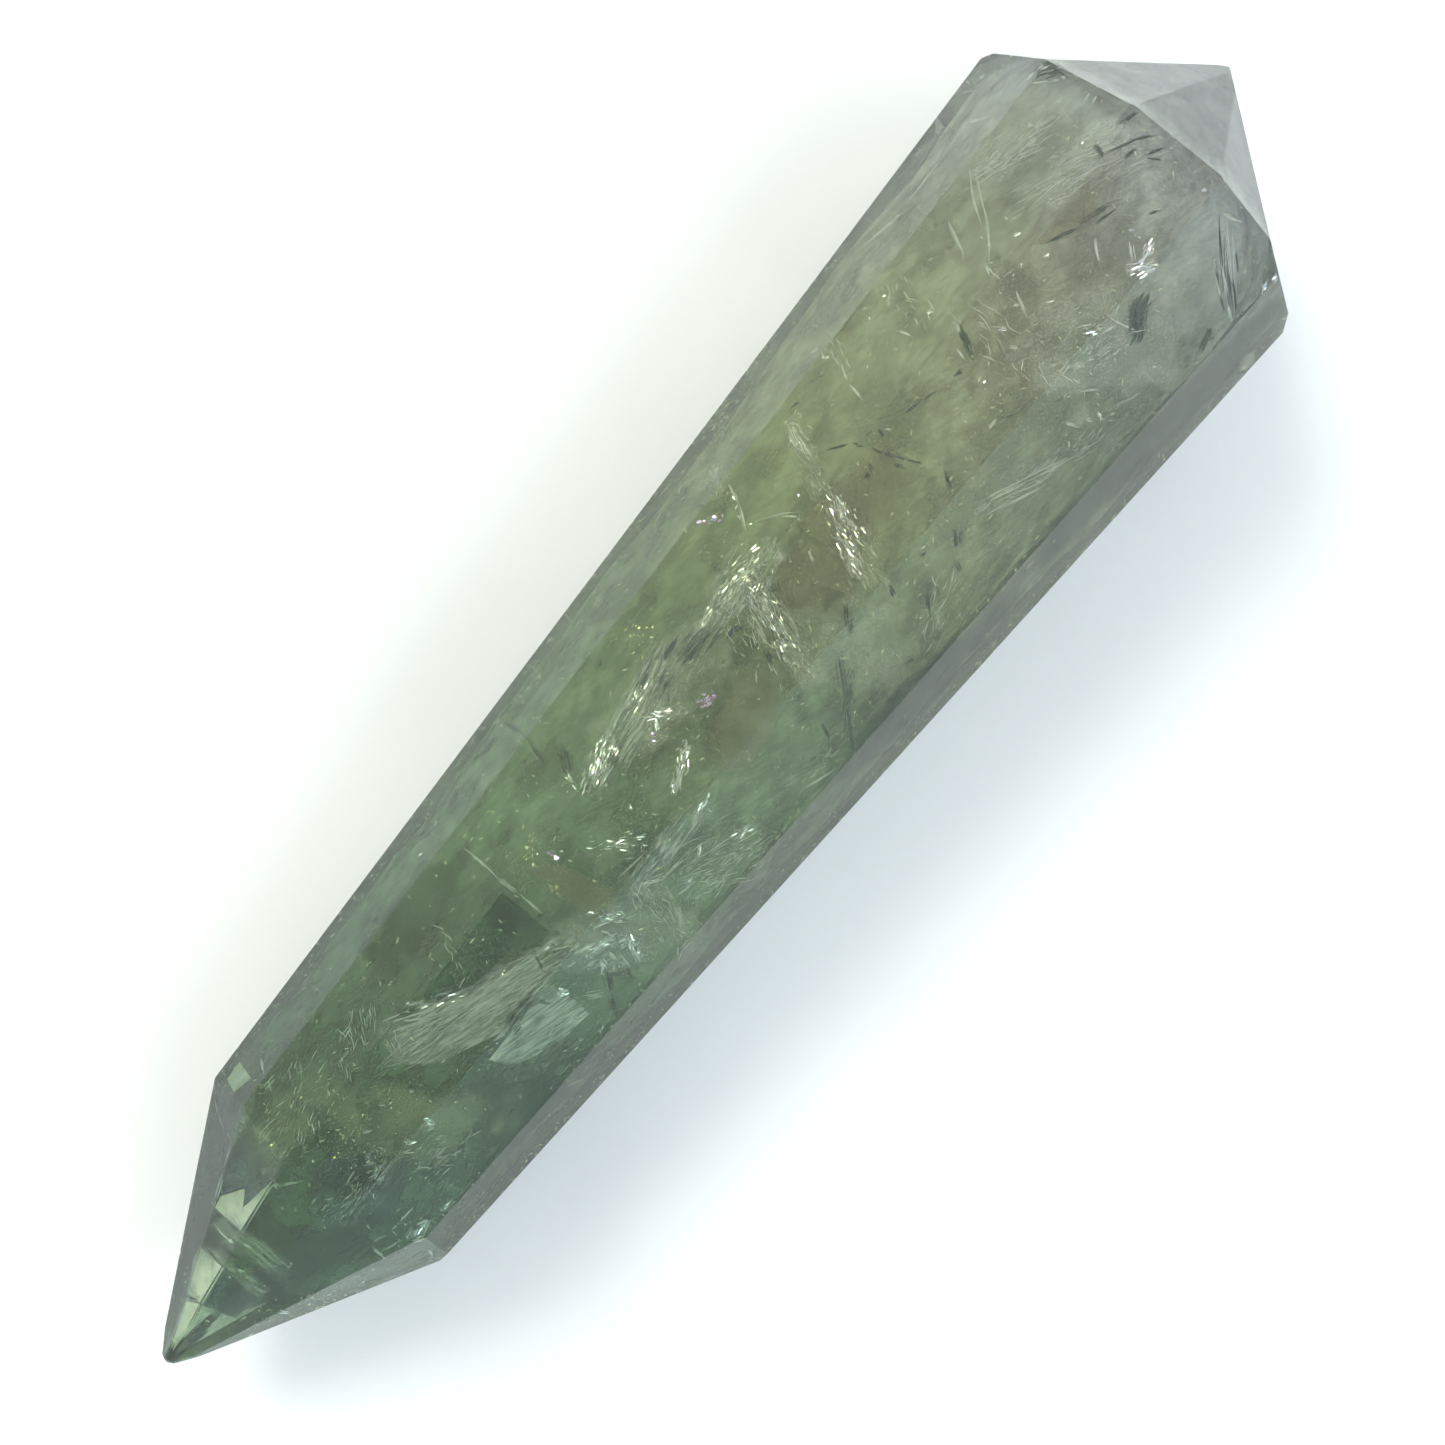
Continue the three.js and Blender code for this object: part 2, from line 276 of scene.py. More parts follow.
# Single long cracks: from and to (millimetres from the point, millimetres from the axis), depth, width.
PALE_CRACKS = [
    (13.0, 7.5, 12.4, 6.7, 0.6, 0.14),
    (12.4, 6.7, 12.0, 5.8, 0.6, 0.16),
    (12.0, 5.8, 11.8, 5.2, 0.6, 0.12),
    (11.7, 5.1, 10.3, 4.5, 0.6, 0.10),
    (10.3, 4.5, 8.4, 3.7, 0.6, 0.08),
    (11.4, 1.5, 12.6, 0.5, 0.9, 0.12),
    (11.5, 1.7, 11.4, 1.3, 0.9, 0.22),
    (13.7, -6.1, 14.6, -6.0, 0.8, 0.13),
    (14.6, -6.0, 15.5, -6.5, 0.8, 0.15),
    (15.5, -6.5, 14.5, -7.0, 0.8, 0.09),
    (14.5, -7.0, 13.8, -6.4, 0.8, 0.10),
    (13.6, -5.2, 14.2, -5.2, 0.8, 0.12),
    (14.2, -5.2, 15.4, -5.3, 0.8, 0.09),
    (13.6, -5.2, 13.6, -5.6, 0.8, 0.09),
    (12.2, -5.5, 13.7, -6.1, 0.8, 0.10),
    (12.2, -4.7, 13.3, -5.2, 0.9, 0.09),
    (12.1, -5.0, 12.2, -5.8, 0.7, 0.30),
    (7.6, 3.0, 7.4, 1.7, 0.8, 0.12),
    (7.4, 1.8, 7.4, 1.1, 0.8, 0.14),
    (7.7, 0.9, 7.9, 0.3, 0.9, 0.16),
    (6.4, 0.2, 6.6, -0.3, 0.9, 0.09),
    (6.0, -3.1, 6.3, -3.6, 0.5, 0.30),
    (14.1, -7.5, 13.9, -8.0, 0.6, 0.22),
    (16.4, 6.9, 15.8, 6.2, 0.6, 0.14),
    (33.1, 5.8, 33.0, 2.8, 1.2, 0.10),
    (33.0, 3.2, 33.1, 1.4, 1.1, 0.20),
    (33.1, 1.6, 33.1, -0.6, 1.2, 0.09),
    (22.5, 2.7, 24.8, 0.6, 1.1, 0.10),
    (23.2, 2.0, 24.5, 0.6, 1.1, 0.07),
    (24.8, 0.6, 26.7, -0.2, 1.1, 0.12),
    (26.9, 0.0, 28.3, -1.1, 1.1, 0.10),
    (29.4, -0.5, 30.8, -1.3, 1.1, 0.10),
    (29.1, -1.1, 30.8, -1.7, 1.1, 0.10),
    (22.9, 1.1, 25.1, 0.2, 1.1, 0.12),
    (23.8, 0.4, 26.3, -0.5, 1.1, 0.12),
    (34.1, -3.1, 35.3, -3.7, 1.2, 0.12),
    (35.3, -3.7, 35.9, -4.5, 1.2, 0.10),
    (34.4, -3.5, 34.7, -4.5, 1.2, 0.10),
    (34.2, -5.1, 33.9, -6.5, 1.2, 0.10),
    (35.0, -5.3, 34.6, -6.5, 1.1, 0.20),
    (33.8, -4.7, 33.7, -5.4, 1.1, 0.18),
    (33.0, -4.6, 32.9, -5.3, 1.1, 0.24),
    (31.5, -1.8, 32.9, -2.9, 1.3, 0.14),
    (32.3, -3.2, 34.0, -3.9, 1.3, 0.14),
    (34.0, -3.9, 34.9, -4.5, 1.3, 0.12),
    (31.0, -5.3, 31.8, -6.0, 1.2, 0.36),
    (36.7, -5.8, 36.4, -6.4, 1.2, 0.18),
    (36.4, -6.4, 36.2, -6.9, 1.2, 0.14),
    (36.5, -7.8, 37.4, -7.9, 1.0, 0.12),
    (26.3, -7.8, 27.2, -8.2, 0.8, 0.20),
    (38.0, -3.6, 39.2, -4.5, 1.3, 0.26),
    (38.9, -4.4, 40.8, -4.6, 1.4, 0.30),
    (38.9, -5.7, 40.0, -6.1, 1.2, 0.14),
    (39.2, -5.7, 40.1, -6.0, 1.2, 0.10),
    (64.6, 6.7, 64.0, 5.4, 1.2, 0.26),
    (64.8, 6.4, 64.0, 4.4, 1.3, 0.26),
    (60.3, 3.7, 60.8, 2.8, 1.1, 0.20),
    (59.7, 1.3, 59.3, 0.5, 1.1, 0.16),
    (69.8, 6.9, 69.1, 5.7, 1.1, 0.10),
    (69.1, 5.7, 68.9, 4.5, 1.1, 0.10),
    (73.5, 5.7, 73.9, 4.4, 1.0, 0.11),
    (76.2, 3.1, 75.8, 2.5, 1.0, 0.16),
    (75.1, 2.2, 74.8, 1.2, 1.0, 0.14),
    (67.3, -9.5, 67.9, -9.6, 0.8, 0.24),
    (68.8, -5.1, 71.6, -6.3, 1.3, 0.14),
    (71.6, -6.3, 74.6, -7.5, 1.3, 0.14),
    (77.9, -5.3, 78.7, -6.1, 1.0, 0.14),
    (75.7, -5.7, 76.1, -6.6, 1.0, 0.12),
    (76.6, -6.6, 77.0, -6.9, 1.0, 0.16),
    (77.5, -6.8, 77.4, -7.3, 1.0, 0.24),
    (72.4, -2.4, 73.2, -2.5, 1.1, 0.18),
    (77.1, -0.2, 77.5, -0.8, 1.0, 0.16),
    (90.7, 9.2, 91.6, 9.2, 0.7, 0.14),
    (91.6, 9.2, 92.5, 8.7, 0.7, 0.12),
    (90.8, 8.9, 91.6, 8.1, 0.7, 0.12),
    (91.6, 8.1, 92.2, 7.6, 0.7, 0.12),
    (92.2, 7.6, 93.0, 7.6, 0.7, 0.16),
    (91.9, 5.8, 92.8, 5.8, 0.9, 0.16),
    (92.2, 5.3, 93.0, 5.3, 0.9, 0.12),
    (86.0, 7.0, 88.5, 5.8, 1.0, 0.24),
    (85.9, 7.5, 87.5, 6.9, 1.0, 0.26),
    (86.1, 10.5, 87.5, 9.5, 0.8, 0.24),
    (87.8, 5.1, 88.5, 4.8, 1.0, 0.18),
    (82.5, 5.9, 81.1, 4.2, 0.9, 0.11),
    (80.3, 4.0, 79.9, 3.3, 0.9, 0.24),
    (80.2, 1.6, 79.3, -0.1, 1.0, 0.18),
    (87.1, -1.8, 86.2, -2.8, 1.0, 0.26),
    (90.0, -6.7, 88.1, -8.7, 0.8, 0.13),
    (88.1, -8.7, 87.2, -9.7, 0.8, 0.13),
    (89.8, -6.4, 87.9, -8.4, 0.8, 0.10),
    (84.3, 8.6, 81.6, 5.3, 1.0, 0.09),
    (84.2, 8.0, 81.6, 4.6, 1.1, 0.08),
    (83.2, 6.6, 80.4, 3.9, 1.1, 0.07),
    (81.4, 8.6, 79.5, 4.9, 1.0, 0.07),
    (92.1, -5.0, 92.6, -6.5, 0.7, 0.09),
    (68.7, -4.8, 75.0, -7.5, 1.2, 0.11),
    (68.5, -5.7, 72.3, -7.3, 1.3, 0.08),
    (59.0, 4.8, 61.1, 2.9, 1.4, 0.10),
    (59.8, 7.6, 59.2, 6.2, 1.2, 0.12),
    (59.2, 6.2, 58.0, 4.6, 1.2, 0.12),
    (47.9, -7.3, 51.0, -8.4, 1.0, 0.09),
    (51.0, -9.0, 52.4, -8.6, 0.9, 0.18),
    (22.3, 2.9, 24.9, 0.9, 1.4, 0.08),
    (22.1, 2.5, 24.8, 0.5, 1.4, 0.07),
    (93.1, -4.5, 87.4, -9.9, 0.9, 0.06),
    (92.9, -5.2, 87.1, -10.4, 0.9, 0.06),
    (85.9, 0.0, 84.8, -1.2, 1.0, 0.20),
    (40.2, 2.2, 42.7, 2.9, 1.1, 0.26),
    (40.4, 1.8, 42.7, 2.1, 1.1, 0.20),
    (44.9, -1.3, 43.2, -1.8, 1.1, 0.20),
    (44.9, -0.7, 43.7, -2.0, 1.1, 0.16),
    (82.6, -3.7, 83.1, -5.7, 1.0, 0.07),
    (75.8, 10.4, 79.5, 9.8, 0.8, 0.07),
    (79.8, 10.0, 83.3, 10.1, 0.7, 0.07),
]
DARK_CRACKS = [
    (40.5, 7.2, 39.9, 5.1, 0.9, 0.18),
    (40.4, 6.9, 39.8, 4.9, 1.1, 0.13),
    (40.2, 8.7, 40.4, 7.0, 0.7, 0.09),
    (90.4, 3.7, 90.0, 2.6, 0.7, 0.26),
    (90.6, 2.6, 92.9, 1.6, 0.7, 0.18),
    (91.7, 2.3, 94.0, 0.8, 0.8, 0.13),
    (90.6, 1.7, 92.0, 1.4, 0.9, 0.16),
    (92.2, 3.2, 93.9, 2.8, 0.7, 0.16),
    (91.8, 0.8, 93.1, 0.1, 0.7, 0.13),
    (83.2, 2.2, 86.0, 0.9, 1.0, 0.13),
    (85.9, 1.2, 88.9, 0.1, 1.0, 0.16),
    (86.2, 0.5, 88.1, 0.0, 1.1, 0.11),
    (89.1, -1.6, 89.8, -2.1, 0.9, 0.13),
    (91.7, 0.7, 92.4, -0.4, 0.7, 0.11),
    (8.1, 3.4, 8.0, 2.4, 0.5, 0.14),
    (8.1, 2.4, 8.2, 1.2, 0.5, 0.17),
    (3.4, 1.5, 3.7, 0.5, 0.5, 0.22),
    (6.3, 2.4, 6.1, 1.1, 0.5, 0.10),
    (8.0, -0.3, 8.0, -0.7, 0.8, 0.16),
    (91.4, 9.2, 92.1, 8.9, 0.8, 0.30),
    (91.7, 8.6, 92.6, 8.0, 0.8, 0.26),
    (91.1, 8.9, 92.0, 8.4, 0.8, 0.20),
    (89.7, -6.6, 88.2, -8.1, 0.8, 0.18),
    (88.2, -8.1, 87.4, -9.1, 0.8, 0.15),
    (91.1, -7.0, 89.8, -8.3, 0.8, 0.12),
    (89.7, -7.7, 87.5, -9.9, 0.8, 0.16),
    (84.5, -4.1, 83.5, -5.2, 0.8, 0.40),
    (83.7, -5.0, 82.5, -6.3, 0.8, 0.42),
    (84.9, -4.8, 82.9, -6.2, 0.8, 0.40),
    (84.3, -4.8, 82.9, -6.0, 0.8, 0.46),
    (31.0, -1.5, 30.5, -2.9, 1.2, 0.18),
    (33.0, -5.2, 32.0, -6.4, 1.2, 0.34),
    (32.0, -6.4, 31.1, -7.7, 1.2, 0.34),
    (33.9, -6.0, 33.4, -6.8, 1.2, 0.18),
    (26.5, -3.1, 27.9, -2.9, 1.2, 0.24),
    (26.6, -3.5, 27.4, -3.5, 1.2, 0.22),
    (27.9, -2.9, 29.1, -3.1, 1.3, 0.20),
    (29.0, -3.2, 29.4, -4.0, 1.3, 0.16),
    (65.1, 4.2, 66.3, 3.4, 1.1, 0.08),
    (66.3, 3.4, 66.9, 2.5, 1.1, 0.10),
    (66.9, 2.5, 67.3, 1.1, 1.1, 0.09),
    (67.3, 1.1, 67.9, -0.1, 1.1, 0.10),
    (67.7, 0.3, 68.2, -0.7, 1.1, 0.12),
    (67.3, 1.4, 67.3, 0.9, 1.0, 0.24),
    (67.1, 0.6, 67.3, 0.1, 1.0, 0.20),
    (66.2, 1.8, 65.9, 1.2, 1.0, 0.24),
    (65.6, 1.5, 65.4, 1.2, 1.0, 0.24),
    (69.8, 2.1, 71.3, 1.7, 1.1, 0.12),
    (71.1, 1.7, 72.3, 1.4, 1.1, 0.12),
    (68.1, 2.7, 68.0, 2.1, 1.2, 0.20),
    (66.4, -4.8, 65.7, -5.6, 1.1, 0.44),
    (64.9, -5.9, 64.5, -6.5, 1.2, 0.36),
    (63.7, -4.2, 64.2, -4.3, 1.1, 0.24),
    (62.8, -5.2, 61.0, -7.2, 1.3, 0.16),
    (61.3, -3.7, 60.9, -4.5, 1.2, 0.26),
    (73.7, 1.2, 74.3, 0.9, 1.0, 0.26),
    (76.0, 2.6, 75.7, 1.5, 1.1, 0.30),
    (68.8, -2.0, 68.0, -3.2, 1.3, 0.22),
    (56.4, -3.7, 54.1, -6.2, 1.2, 0.34),
    (54.4, -6.0, 51.8, -8.8, 1.2, 0.36),
    (58.8, -2.4, 57.2, -4.1, 1.2, 0.22),
    (56.1, -7.8, 55.3, -9.3, 0.9, 0.34),
    (54.4, -9.7, 56.3, -9.2, 0.9, 0.20),
    (58.3, -9.7, 59.9, -9.6, 0.7, 0.30),
    (58.2, -7.6, 58.7, -7.8, 0.7, 0.22),
    (65.6, 7.5, 66.4, 7.3, 0.9, 0.10),
    (73.3, -2.6, 74.3, -3.2, 1.0, 0.16),
    (53.4, -0.5, 53.0, -1.4, 1.4, 0.34),
    (93.1, -4.0, 88.0, -8.6, 1.0, 0.07),
    (91.4, -5.9, 87.0, -9.9, 1.1, 0.07),
    (92.2, 9.4, 92.6, 7.2, 0.7, 0.08),
    (91.4, 9.1, 92.8, 7.7, 0.7, 0.07),
    (52.3, -5.7, 51.7, -6.9, 1.2, 0.26),
    (52.0, -10.4, 53.4, -10.3, 0.7, 0.20),
]
NAVY_CRACKS = [
    (48.8, 3.7, 50.9, 3.9, 1.5, 0.24),
    (49.3, 3.1, 51.6, 3.3, 1.6, 0.28),
    (50.4, 3.4, 52.4, 3.5, 1.6, 0.26),
    (49.9, 2.5, 52.4, 2.6, 1.6, 0.26),
    (50.9, 2.0, 53.1, 2.2, 1.6, 0.24),
    (52.2, 1.8, 53.8, 1.3, 1.6, 0.22),
    (46.6, 3.6, 48.4, 4.2, 1.8, 0.30),
    (47.6, 2.9, 49.2, 3.3, 1.8, 0.26),
    (9.2, 3.7, 9.9, 3.2, 0.6, 0.14),
    (9.8, 3.2, 10.4, 2.8, 0.6, 0.14),
    (1.7, -0.3, 3.1, -0.3, 0.6, 0.24),
    (1.2, -0.4, 3.0, -0.8, 0.6, 0.18),
    (1.6, 1.2, 3.6, 2.3, 0.3, 0.14),
    (3.6, 2.3, 6.1, 3.7, 0.3, 0.14),
]
# Where one facet mirrors another through clear quartz, the eye sees a patch with straight edges. A
# thin plate stands for each: its depth in millimetres and its corners, which are where the camera
# sees them (millimetres from the point, millimetres from the axis) and how strongly it shows there.
CREAM_PANES = [
    (0.9, [(8.3, 3.6, 1), (9.0, 3.6, 1), (10.2, 2.8, 1), (9.3, 2.2, 1), (11.5, 1.9, 1), (8.2, 1.3, 1)]),
    (0.8, [(6.1, 2.7, 0.4), (6.0, 1.0, 1), (3.7, 0.5, 1), (3.5, 1.5, 1), (4.5, 2.0, 1), (5.3, 2.5, 1)]),
    (0.6, [(3.3, 1.4, 1), (3.6, 0.5, 1), (2.1, 0.3, 1), (0.7, 0.1, 1), (1.5, 0.7, 1)]),
    (0.7, [(15.5, 7.7, 1), (15.2, 6.6, 1), (13.8, 6.8, 1), (14.3, 7.6, 1)]),
]
SLATE_PANES = [
    (0.8, [(10.2, 2.8, 1), (10.9, 3.0, 0.8), (11.2, 2.4, 1), (11.7, 2.4, 1), (11.5, 1.9, 1), (9.3, 2.2, 1)]),
    (0.8, [(6.1, 0.8, 0.8), (5.9, -0.4, 0.8), (5.6, -1.6, 0.2), (4.3, -1.5, 0.6), (3.7, 0.4, 1)]),
    (0.7, [(13.4, 7.4, 1), (13.7, 7.1, 0.8), (13.2, 6.7, 1), (12.3, 6.3, 1), (12.6, 7.0, 1)]),
    (1.2, [
        (13.0, 1.1, 0.3), (14.5, 0.2, 0.8), (15.8, -1.6, 1), (13.5, -1.8, 0.2), (12.4, -2.0, 0.6),
        (12.1, -0.6, 0.5),
    ]),
    (1.2, [(13.2, -2.6, 0.3), (15.0, -3.1, 0.6), (15.7, -4.3, 0.6), (14.6, -4.6, 0.7), (13.0, -4.2, 0.5)]),
    (0.9, [
        (11.3, 5.0, 0.5), (12.7, 4.6, 0.3), (12.9, 2.9, 0), (12.0, 2.6, 0.4), (10.6, 3.1, 0.9),
        (9.3, 3.8, 1),
    ]),
]
DARK_PANES = [
    (0.7, [
        (12.9, 7.4, 1), (12.0, 6.0, 1), (11.6, 5.0, 1), (10.2, 4.4, 1), (8.4, 3.7, 1), (6.1, 3.2, 0.8),
        (5.7, 3.4, 1), (9.8, 5.8, 1),
    ]),
    (0.6, [
        (5.7, 3.4, 0.9), (6.1, 3.2, 0.8), (4.4, 2.3, 0.7), (1.6, 0.8, 0.4), (0.9, 0.6, 0.3),
        (1.9, 1.3, 0.7),
    ]),
    (1.0, [(11.5, 1.7, 1), (12.7, 1.8, 1), (12.6, 0.6, 1)]),
    (1.1, [(13.7, 1.5, 1), (15.9, 1.7, 1), (15.4, 0.7, 0.7)]),
    (1.3, [(8.8, 0.4, 0.6), (10.6, -0.9, 0.4), (12.5, -4.7, 0.3), (9.5, -4.1, 0.5), (8.6, -2.6, 0.5)]),
    (1.2, [(6.6, 0.7, 0.8), (8.1, -0.2, 0.5), (6.0, -1.1, 0.5)]),
    (1.4, [
        (32.5, 2.3, 1), (32.6, 1.0, 1), (32.5, -1.2, 0.6), (31.5, -1.4, 1), (29.8, -0.2, 1),
        (27.5, 0.1, 1), (25.5, 1.1, 0.8), (24.9, 2.0, 1),
    ]),
    (1.5, [(27.1, -6.6, 0), (28.9, -7.3, 1), (29.7, -7.9, 0.6), (28.4, -7.8, 0.4), (27.0, -7.0, 0)]),
    (1.5, [
        (21.0, -4.6, 0), (23.9, -4.7, 0.3), (26.5, -7.0, 0.6), (26.2, -8.2, 0.6), (21.8, -7.7, 0.6),
        (19.9, -5.8, 0.2),
    ]),
]
COMB_PANES = [
    (1.5, [
        (21.0, 0.6, 0.2), (21.7, 2.0, 0.2), (24.3, 0.9, 1), (27.3, -0.4, 1), (30.8, -1.3, 1),
        (31.0, -2.2, 1), (30.4, -3.0, 1), (27.9, -2.9, 0.9), (26.2, -2.8, 0.8), (22.7, -1.2, 0.4),
    ]),
    (1.7, [
        (30.2, -3.1, 0.3), (30.4, -5.0, 0.9), (30.3, -6.1, 0.9), (28.5, -5.9, 0.5), (26.1, -5.1, 0.5),
        (25.0, -4.2, 0.5), (24.6, -3.3, 1), (26.1, -3.3, 1), (27.4, -3.3, 1),
    ]),
]
BROWN_PANES = [
    (1.5, [
        (60.4, 2.7, 1), (64.0, 2.5, 1), (67.6, 2.1, 0.4), (68.2, -1.3, 0.2), (64.6, -1.8, 0.2),
        (60.8, -1.0, 0.3), (60.6, 1.1, 0.8),
    ]),
    (1.5, [(60.1, 1.3, 0.3), (60.4, -0.5, 0.5), (59.3, -2.4, 1), (58.5, -0.6, 0.8), (58.5, 0.9, 0.3)]),
    (1.5, [(34.3, 2.4, 0.8), (36.0, 0.8, 0.6), (36.9, -2.8, 0.6), (35.0, -2.8, 0.8), (34.4, -0.5, 0.5)]),
    (1.2, [(82.9, 2.5, 0.8), (85.1, 0.9, 0.3), (88.4, 0.0, 0), (92.3, 2.9, 0.6), (84.6, 2.5, 0.2)]),
]

# Thin curved sheets. Each has its middle as the camera sees it, its yaw, pitch and roll in degrees
# against the facet above it, its length and width, how far it bends and ripples, a seed for its
# outline, how many cells it has along its length, and for some how ragged its outline is.
POINT_VEILS = [
    ((7.8, 0.2, 0.9), (-84, 4, 12), 9.5, 2.2, 0.10, 0.15, 1, 60),
    ((6.2, 0.0, 1.0), (-82, 4, -10), 6.0, 1.6, 0.14, 0.15, 2, 50),
    ((3.7, 0.5, 0.9), (-84, 4, 15), 3.4, 0.8, 0.10, 0.1, 3, 40),
    ((13.0, 5.6, 0.9), (-30, 6, 20), 5.0, 0.8, 0.20, 0.1, 5, 50),
]
BLUE_VEILS = [
    ((14.3, -2.0, 1.5), (0, 4, 0), 7.0, 3.6, 0.05, 0.4, 6, 50),
    ((11.6, 1.6, 1.4), (10, 4, 0), 2.6, 2.0, 0.05, 0.2, 7, 30),
]
COMB_VEILS = [
    ((26.0, -0.3, 2.0), (-18, 2, 8), 12.5, 3.4, 0.04, 0.3, 11, 80),
    ((33.6, -4.4, 2.0), (-60, 4, 10), 6.0, 3.0, 0.10, 0.4, 13, 50),
]
LENGTHWISE_FILMS = [
    ((45.6, 3.1, 1.8), (6, 2, 6), 11.0, 3.0, 0.04, 0.3, 41, 80),
    ((40.8, -3.7, 1.8), (2, 2, 10), 9.0, 1.6, 0.04, 0.3, 42, 60),
    ((50.5, 3.0, 2.0), (2, 2, 4), 8.0, 2.6, 0.04, 0.3, 43, 60),
    ((55.9, 3.4, 1.8), (-5, 4, 4), 7.0, 3.2, 0.05, 0.4, 44, 60),
]
CROSSWISE_FILMS = [
    ((55.0, -0.2, 1.9), (-106, 2, 4), 8.0, 2.8, 0.06, 0.4, 45, 60),
    ((62.0, 0.2, 1.7), (-111, 2, 6), 9.0, 3.4, 0.10, 0.4, 46, 70),
    ((37.4, -5.6, 1.8), (-105, 2, 10), 7.0, 3.2, 0.08, 0.4, 47, 60),
    ((64.4, 5.6, 1.5), (-111, 2, 6), 5.0, 1.6, 0.08, 0.3, 48, 40),
    ((59.4, 8.2, 1.0), (-106, 2, 6), 4.0, 1.2, 0.08, 0.2, 49, 40),
]
SLANTING_FILMS = [
    ((86.7, 7.2, 1.2), (-22, 2, 8), 7.5, 3.2, 0.05, 0.3, 51, 60),
    ((41.9, -6.6, 1.7), (-21, 2, 8), 7.0, 4.0, 0.05, 0.4, 52, 60),
    ((71.7, -6.2, 1.5), (-23, 2, 10), 8.0, 2.4, 0.05, 0.3, 53, 60),
    ((80.5, -3.0, 1.8), (-28, 2, 4), 9.0, 6.0, 0.05, 0.6, 54, 60),
    ((89.0, 3.5, 1.3), (-24, 2, 4), 8.0, 4.0, 0.05, 0.4, 55, 60),
]
BROWN_STAINS = [
    ((58.8, -0.3, 2.1), (-20, 2, 4), 6.5, 5.0, 0.03, 0.1, 61, 50, 0.2),
    ((49.4, -2.2, 2.1), (10, 2, 4), 7.0, 3.8, 0.03, 0.1, 62, 50, 0.2),
]
# Dark green sheets. The two long ones on the -Y side are painted shade that darkens that side's band, where
# its facets mirror darker surroundings. The short one on the +Y side is a green stain.
GREEN_STAINS_AND_SHADE = [
    ((57.5, -9.3, 0.7), (-3, 0, 0), 18.0, 4.4, 0.0, 0.05, 64, 60, 0.2),
    ((80.0, -10.6, 0.7), (-3, 0, 0), 30.0, 4.6, 0.0, 0.05, 65, 90, 0.2),
    ((28.5, 5.4, 1.5), (3, 0, 0), 10.0, 3.6, 0.0, 0.05, 66, 60, 0.3),
]
MOSS_STAINS = [
    ((18.2, -0.8, 1.7), (-68, 2, 2), 14.0, 4.6, 0.0, 0.3, 67, 50, 0.6),
    ((21.5, -4.6, 1.7), (-60, 2, 2), 6.0, 3.6, 0.0, 0.3, 68, 40, 0.6),
    ((14.6, 3.4, 1.5), (-20, 2, 2), 5.0, 3.2, 0.0, 0.3, 69, 40, 0.6),
]
MILKY_STAINS = [
    ((36.0, -6.2, 1.8), (-60, 2, 2), 12.0, 4.6, 0.0, 0.3, 71, 50, 0.6),
    ((57.0, -4.6, 1.9), (-70, 2, 2), 10.0, 6.0, 0.0, 0.3, 72, 50, 0.6),
    ((47.0, 3.0, 2.0), (-10, 2, 2), 12.0, 4.6, 0.0, 0.3, 73, 50, 0.6),
    ((82.0, -5.5, 1.9), (-30, 2, 2), 14.0, 8.0, 0.0, 0.3, 74, 50, 0.6),
]

# Painted light: a facet bends and mirrors light from its own side of the room, and this is painted
# into the stone's colour as a lighter or darker tone for each facet, so the tone steps at its edges.
# Each has a bearing about the axis, in degrees from the facet on top towards +Y, and red, green and
# blue factors for the body's facet at the point and at the crown, and the point's.
FACET_PAINTED_LIGHT = [
    (0, (0.98, 0.99, 0.98), (1.04, 0.99, 1.00), (0.70, 0.92, 0.72)),
    (30, (0.92, 0.99, 0.94), (0.97, 1.02, 0.95), (1.30, 1.38, 1.34)),
    (59, (0.70, 0.80, 0.74), (0.98, 1.0, 1.0), (0.35, 0.50, 0.40)),
    (87, (0.60, 0.68, 0.62), (0.85, 0.87, 0.87), (0.45, 0.55, 0.50)),
    (118, (0.70, 0.78, 0.72), (0.9, 0.9, 0.9), (0.8, 0.9, 0.8)),
    (149, (0.9, 0.9, 0.9), (1.0, 1.0, 1.0), (1.1, 1.15, 1.1)),
    (180, (0.9, 0.9, 0.9), (1.0, 1.0, 1.0), (0.9, 1.0, 0.9)),
    (210, (0.9, 0.9, 0.9), (1.0, 1.0, 1.0), (1.0, 1.1, 1.0)),
    (238, (0.8, 0.8, 0.8), (0.9, 0.9, 0.9), (1.2, 1.25, 1.25)),
    (267, (0.70, 0.75, 0.72), (0.80, 0.82, 0.80), (1.35, 1.40, 1.42)),
    (297, (0.46, 0.54, 0.50), (0.50, 0.55, 0.50), (1.50, 1.55, 1.70)),
    (329, (1.14, 1.18, 1.16), (1.10, 1.13, 1.14), (0.72, 0.92, 0.75)),
]

# The worn strips between facets are narrower than this, and carry a painted shade that darkens what is seen
# through them.
STRIP_WIDTH = 0.15 * MM
STRIP_PAINTED_SHADE = 0.75

# The soft boxes: the way to each, how bright it is next to the white sky around it, and how wide, in
# degrees. They stand where no facet mirrors them into the camera, only the scales inside.
SOFT_BOXES = [
    ((0.0, 0.643, 0.766), 12.0, 28.0),
    ((0.063, -0.627, 0.777), 7.5, 28.0),
]
SOFT_EDGE = 3.0
SKY_STRENGTH = 1.3


class StoneSizes(PropertyGroup):
    """Sizes of the cut stone's own surface."""

    edge_wear: FloatProperty(
        name="Edge wear",
        description="Width of the rubbed strip along each edge between facets",
        default=0.12 * MM,
        unit="LENGTH",
    )
    flat_angle: FloatProperty(
        name="Flat angle",
        description="Faces that turn by less than this are one facet",
        default=math.radians(1.5),
        subtype="ANGLE",
    )


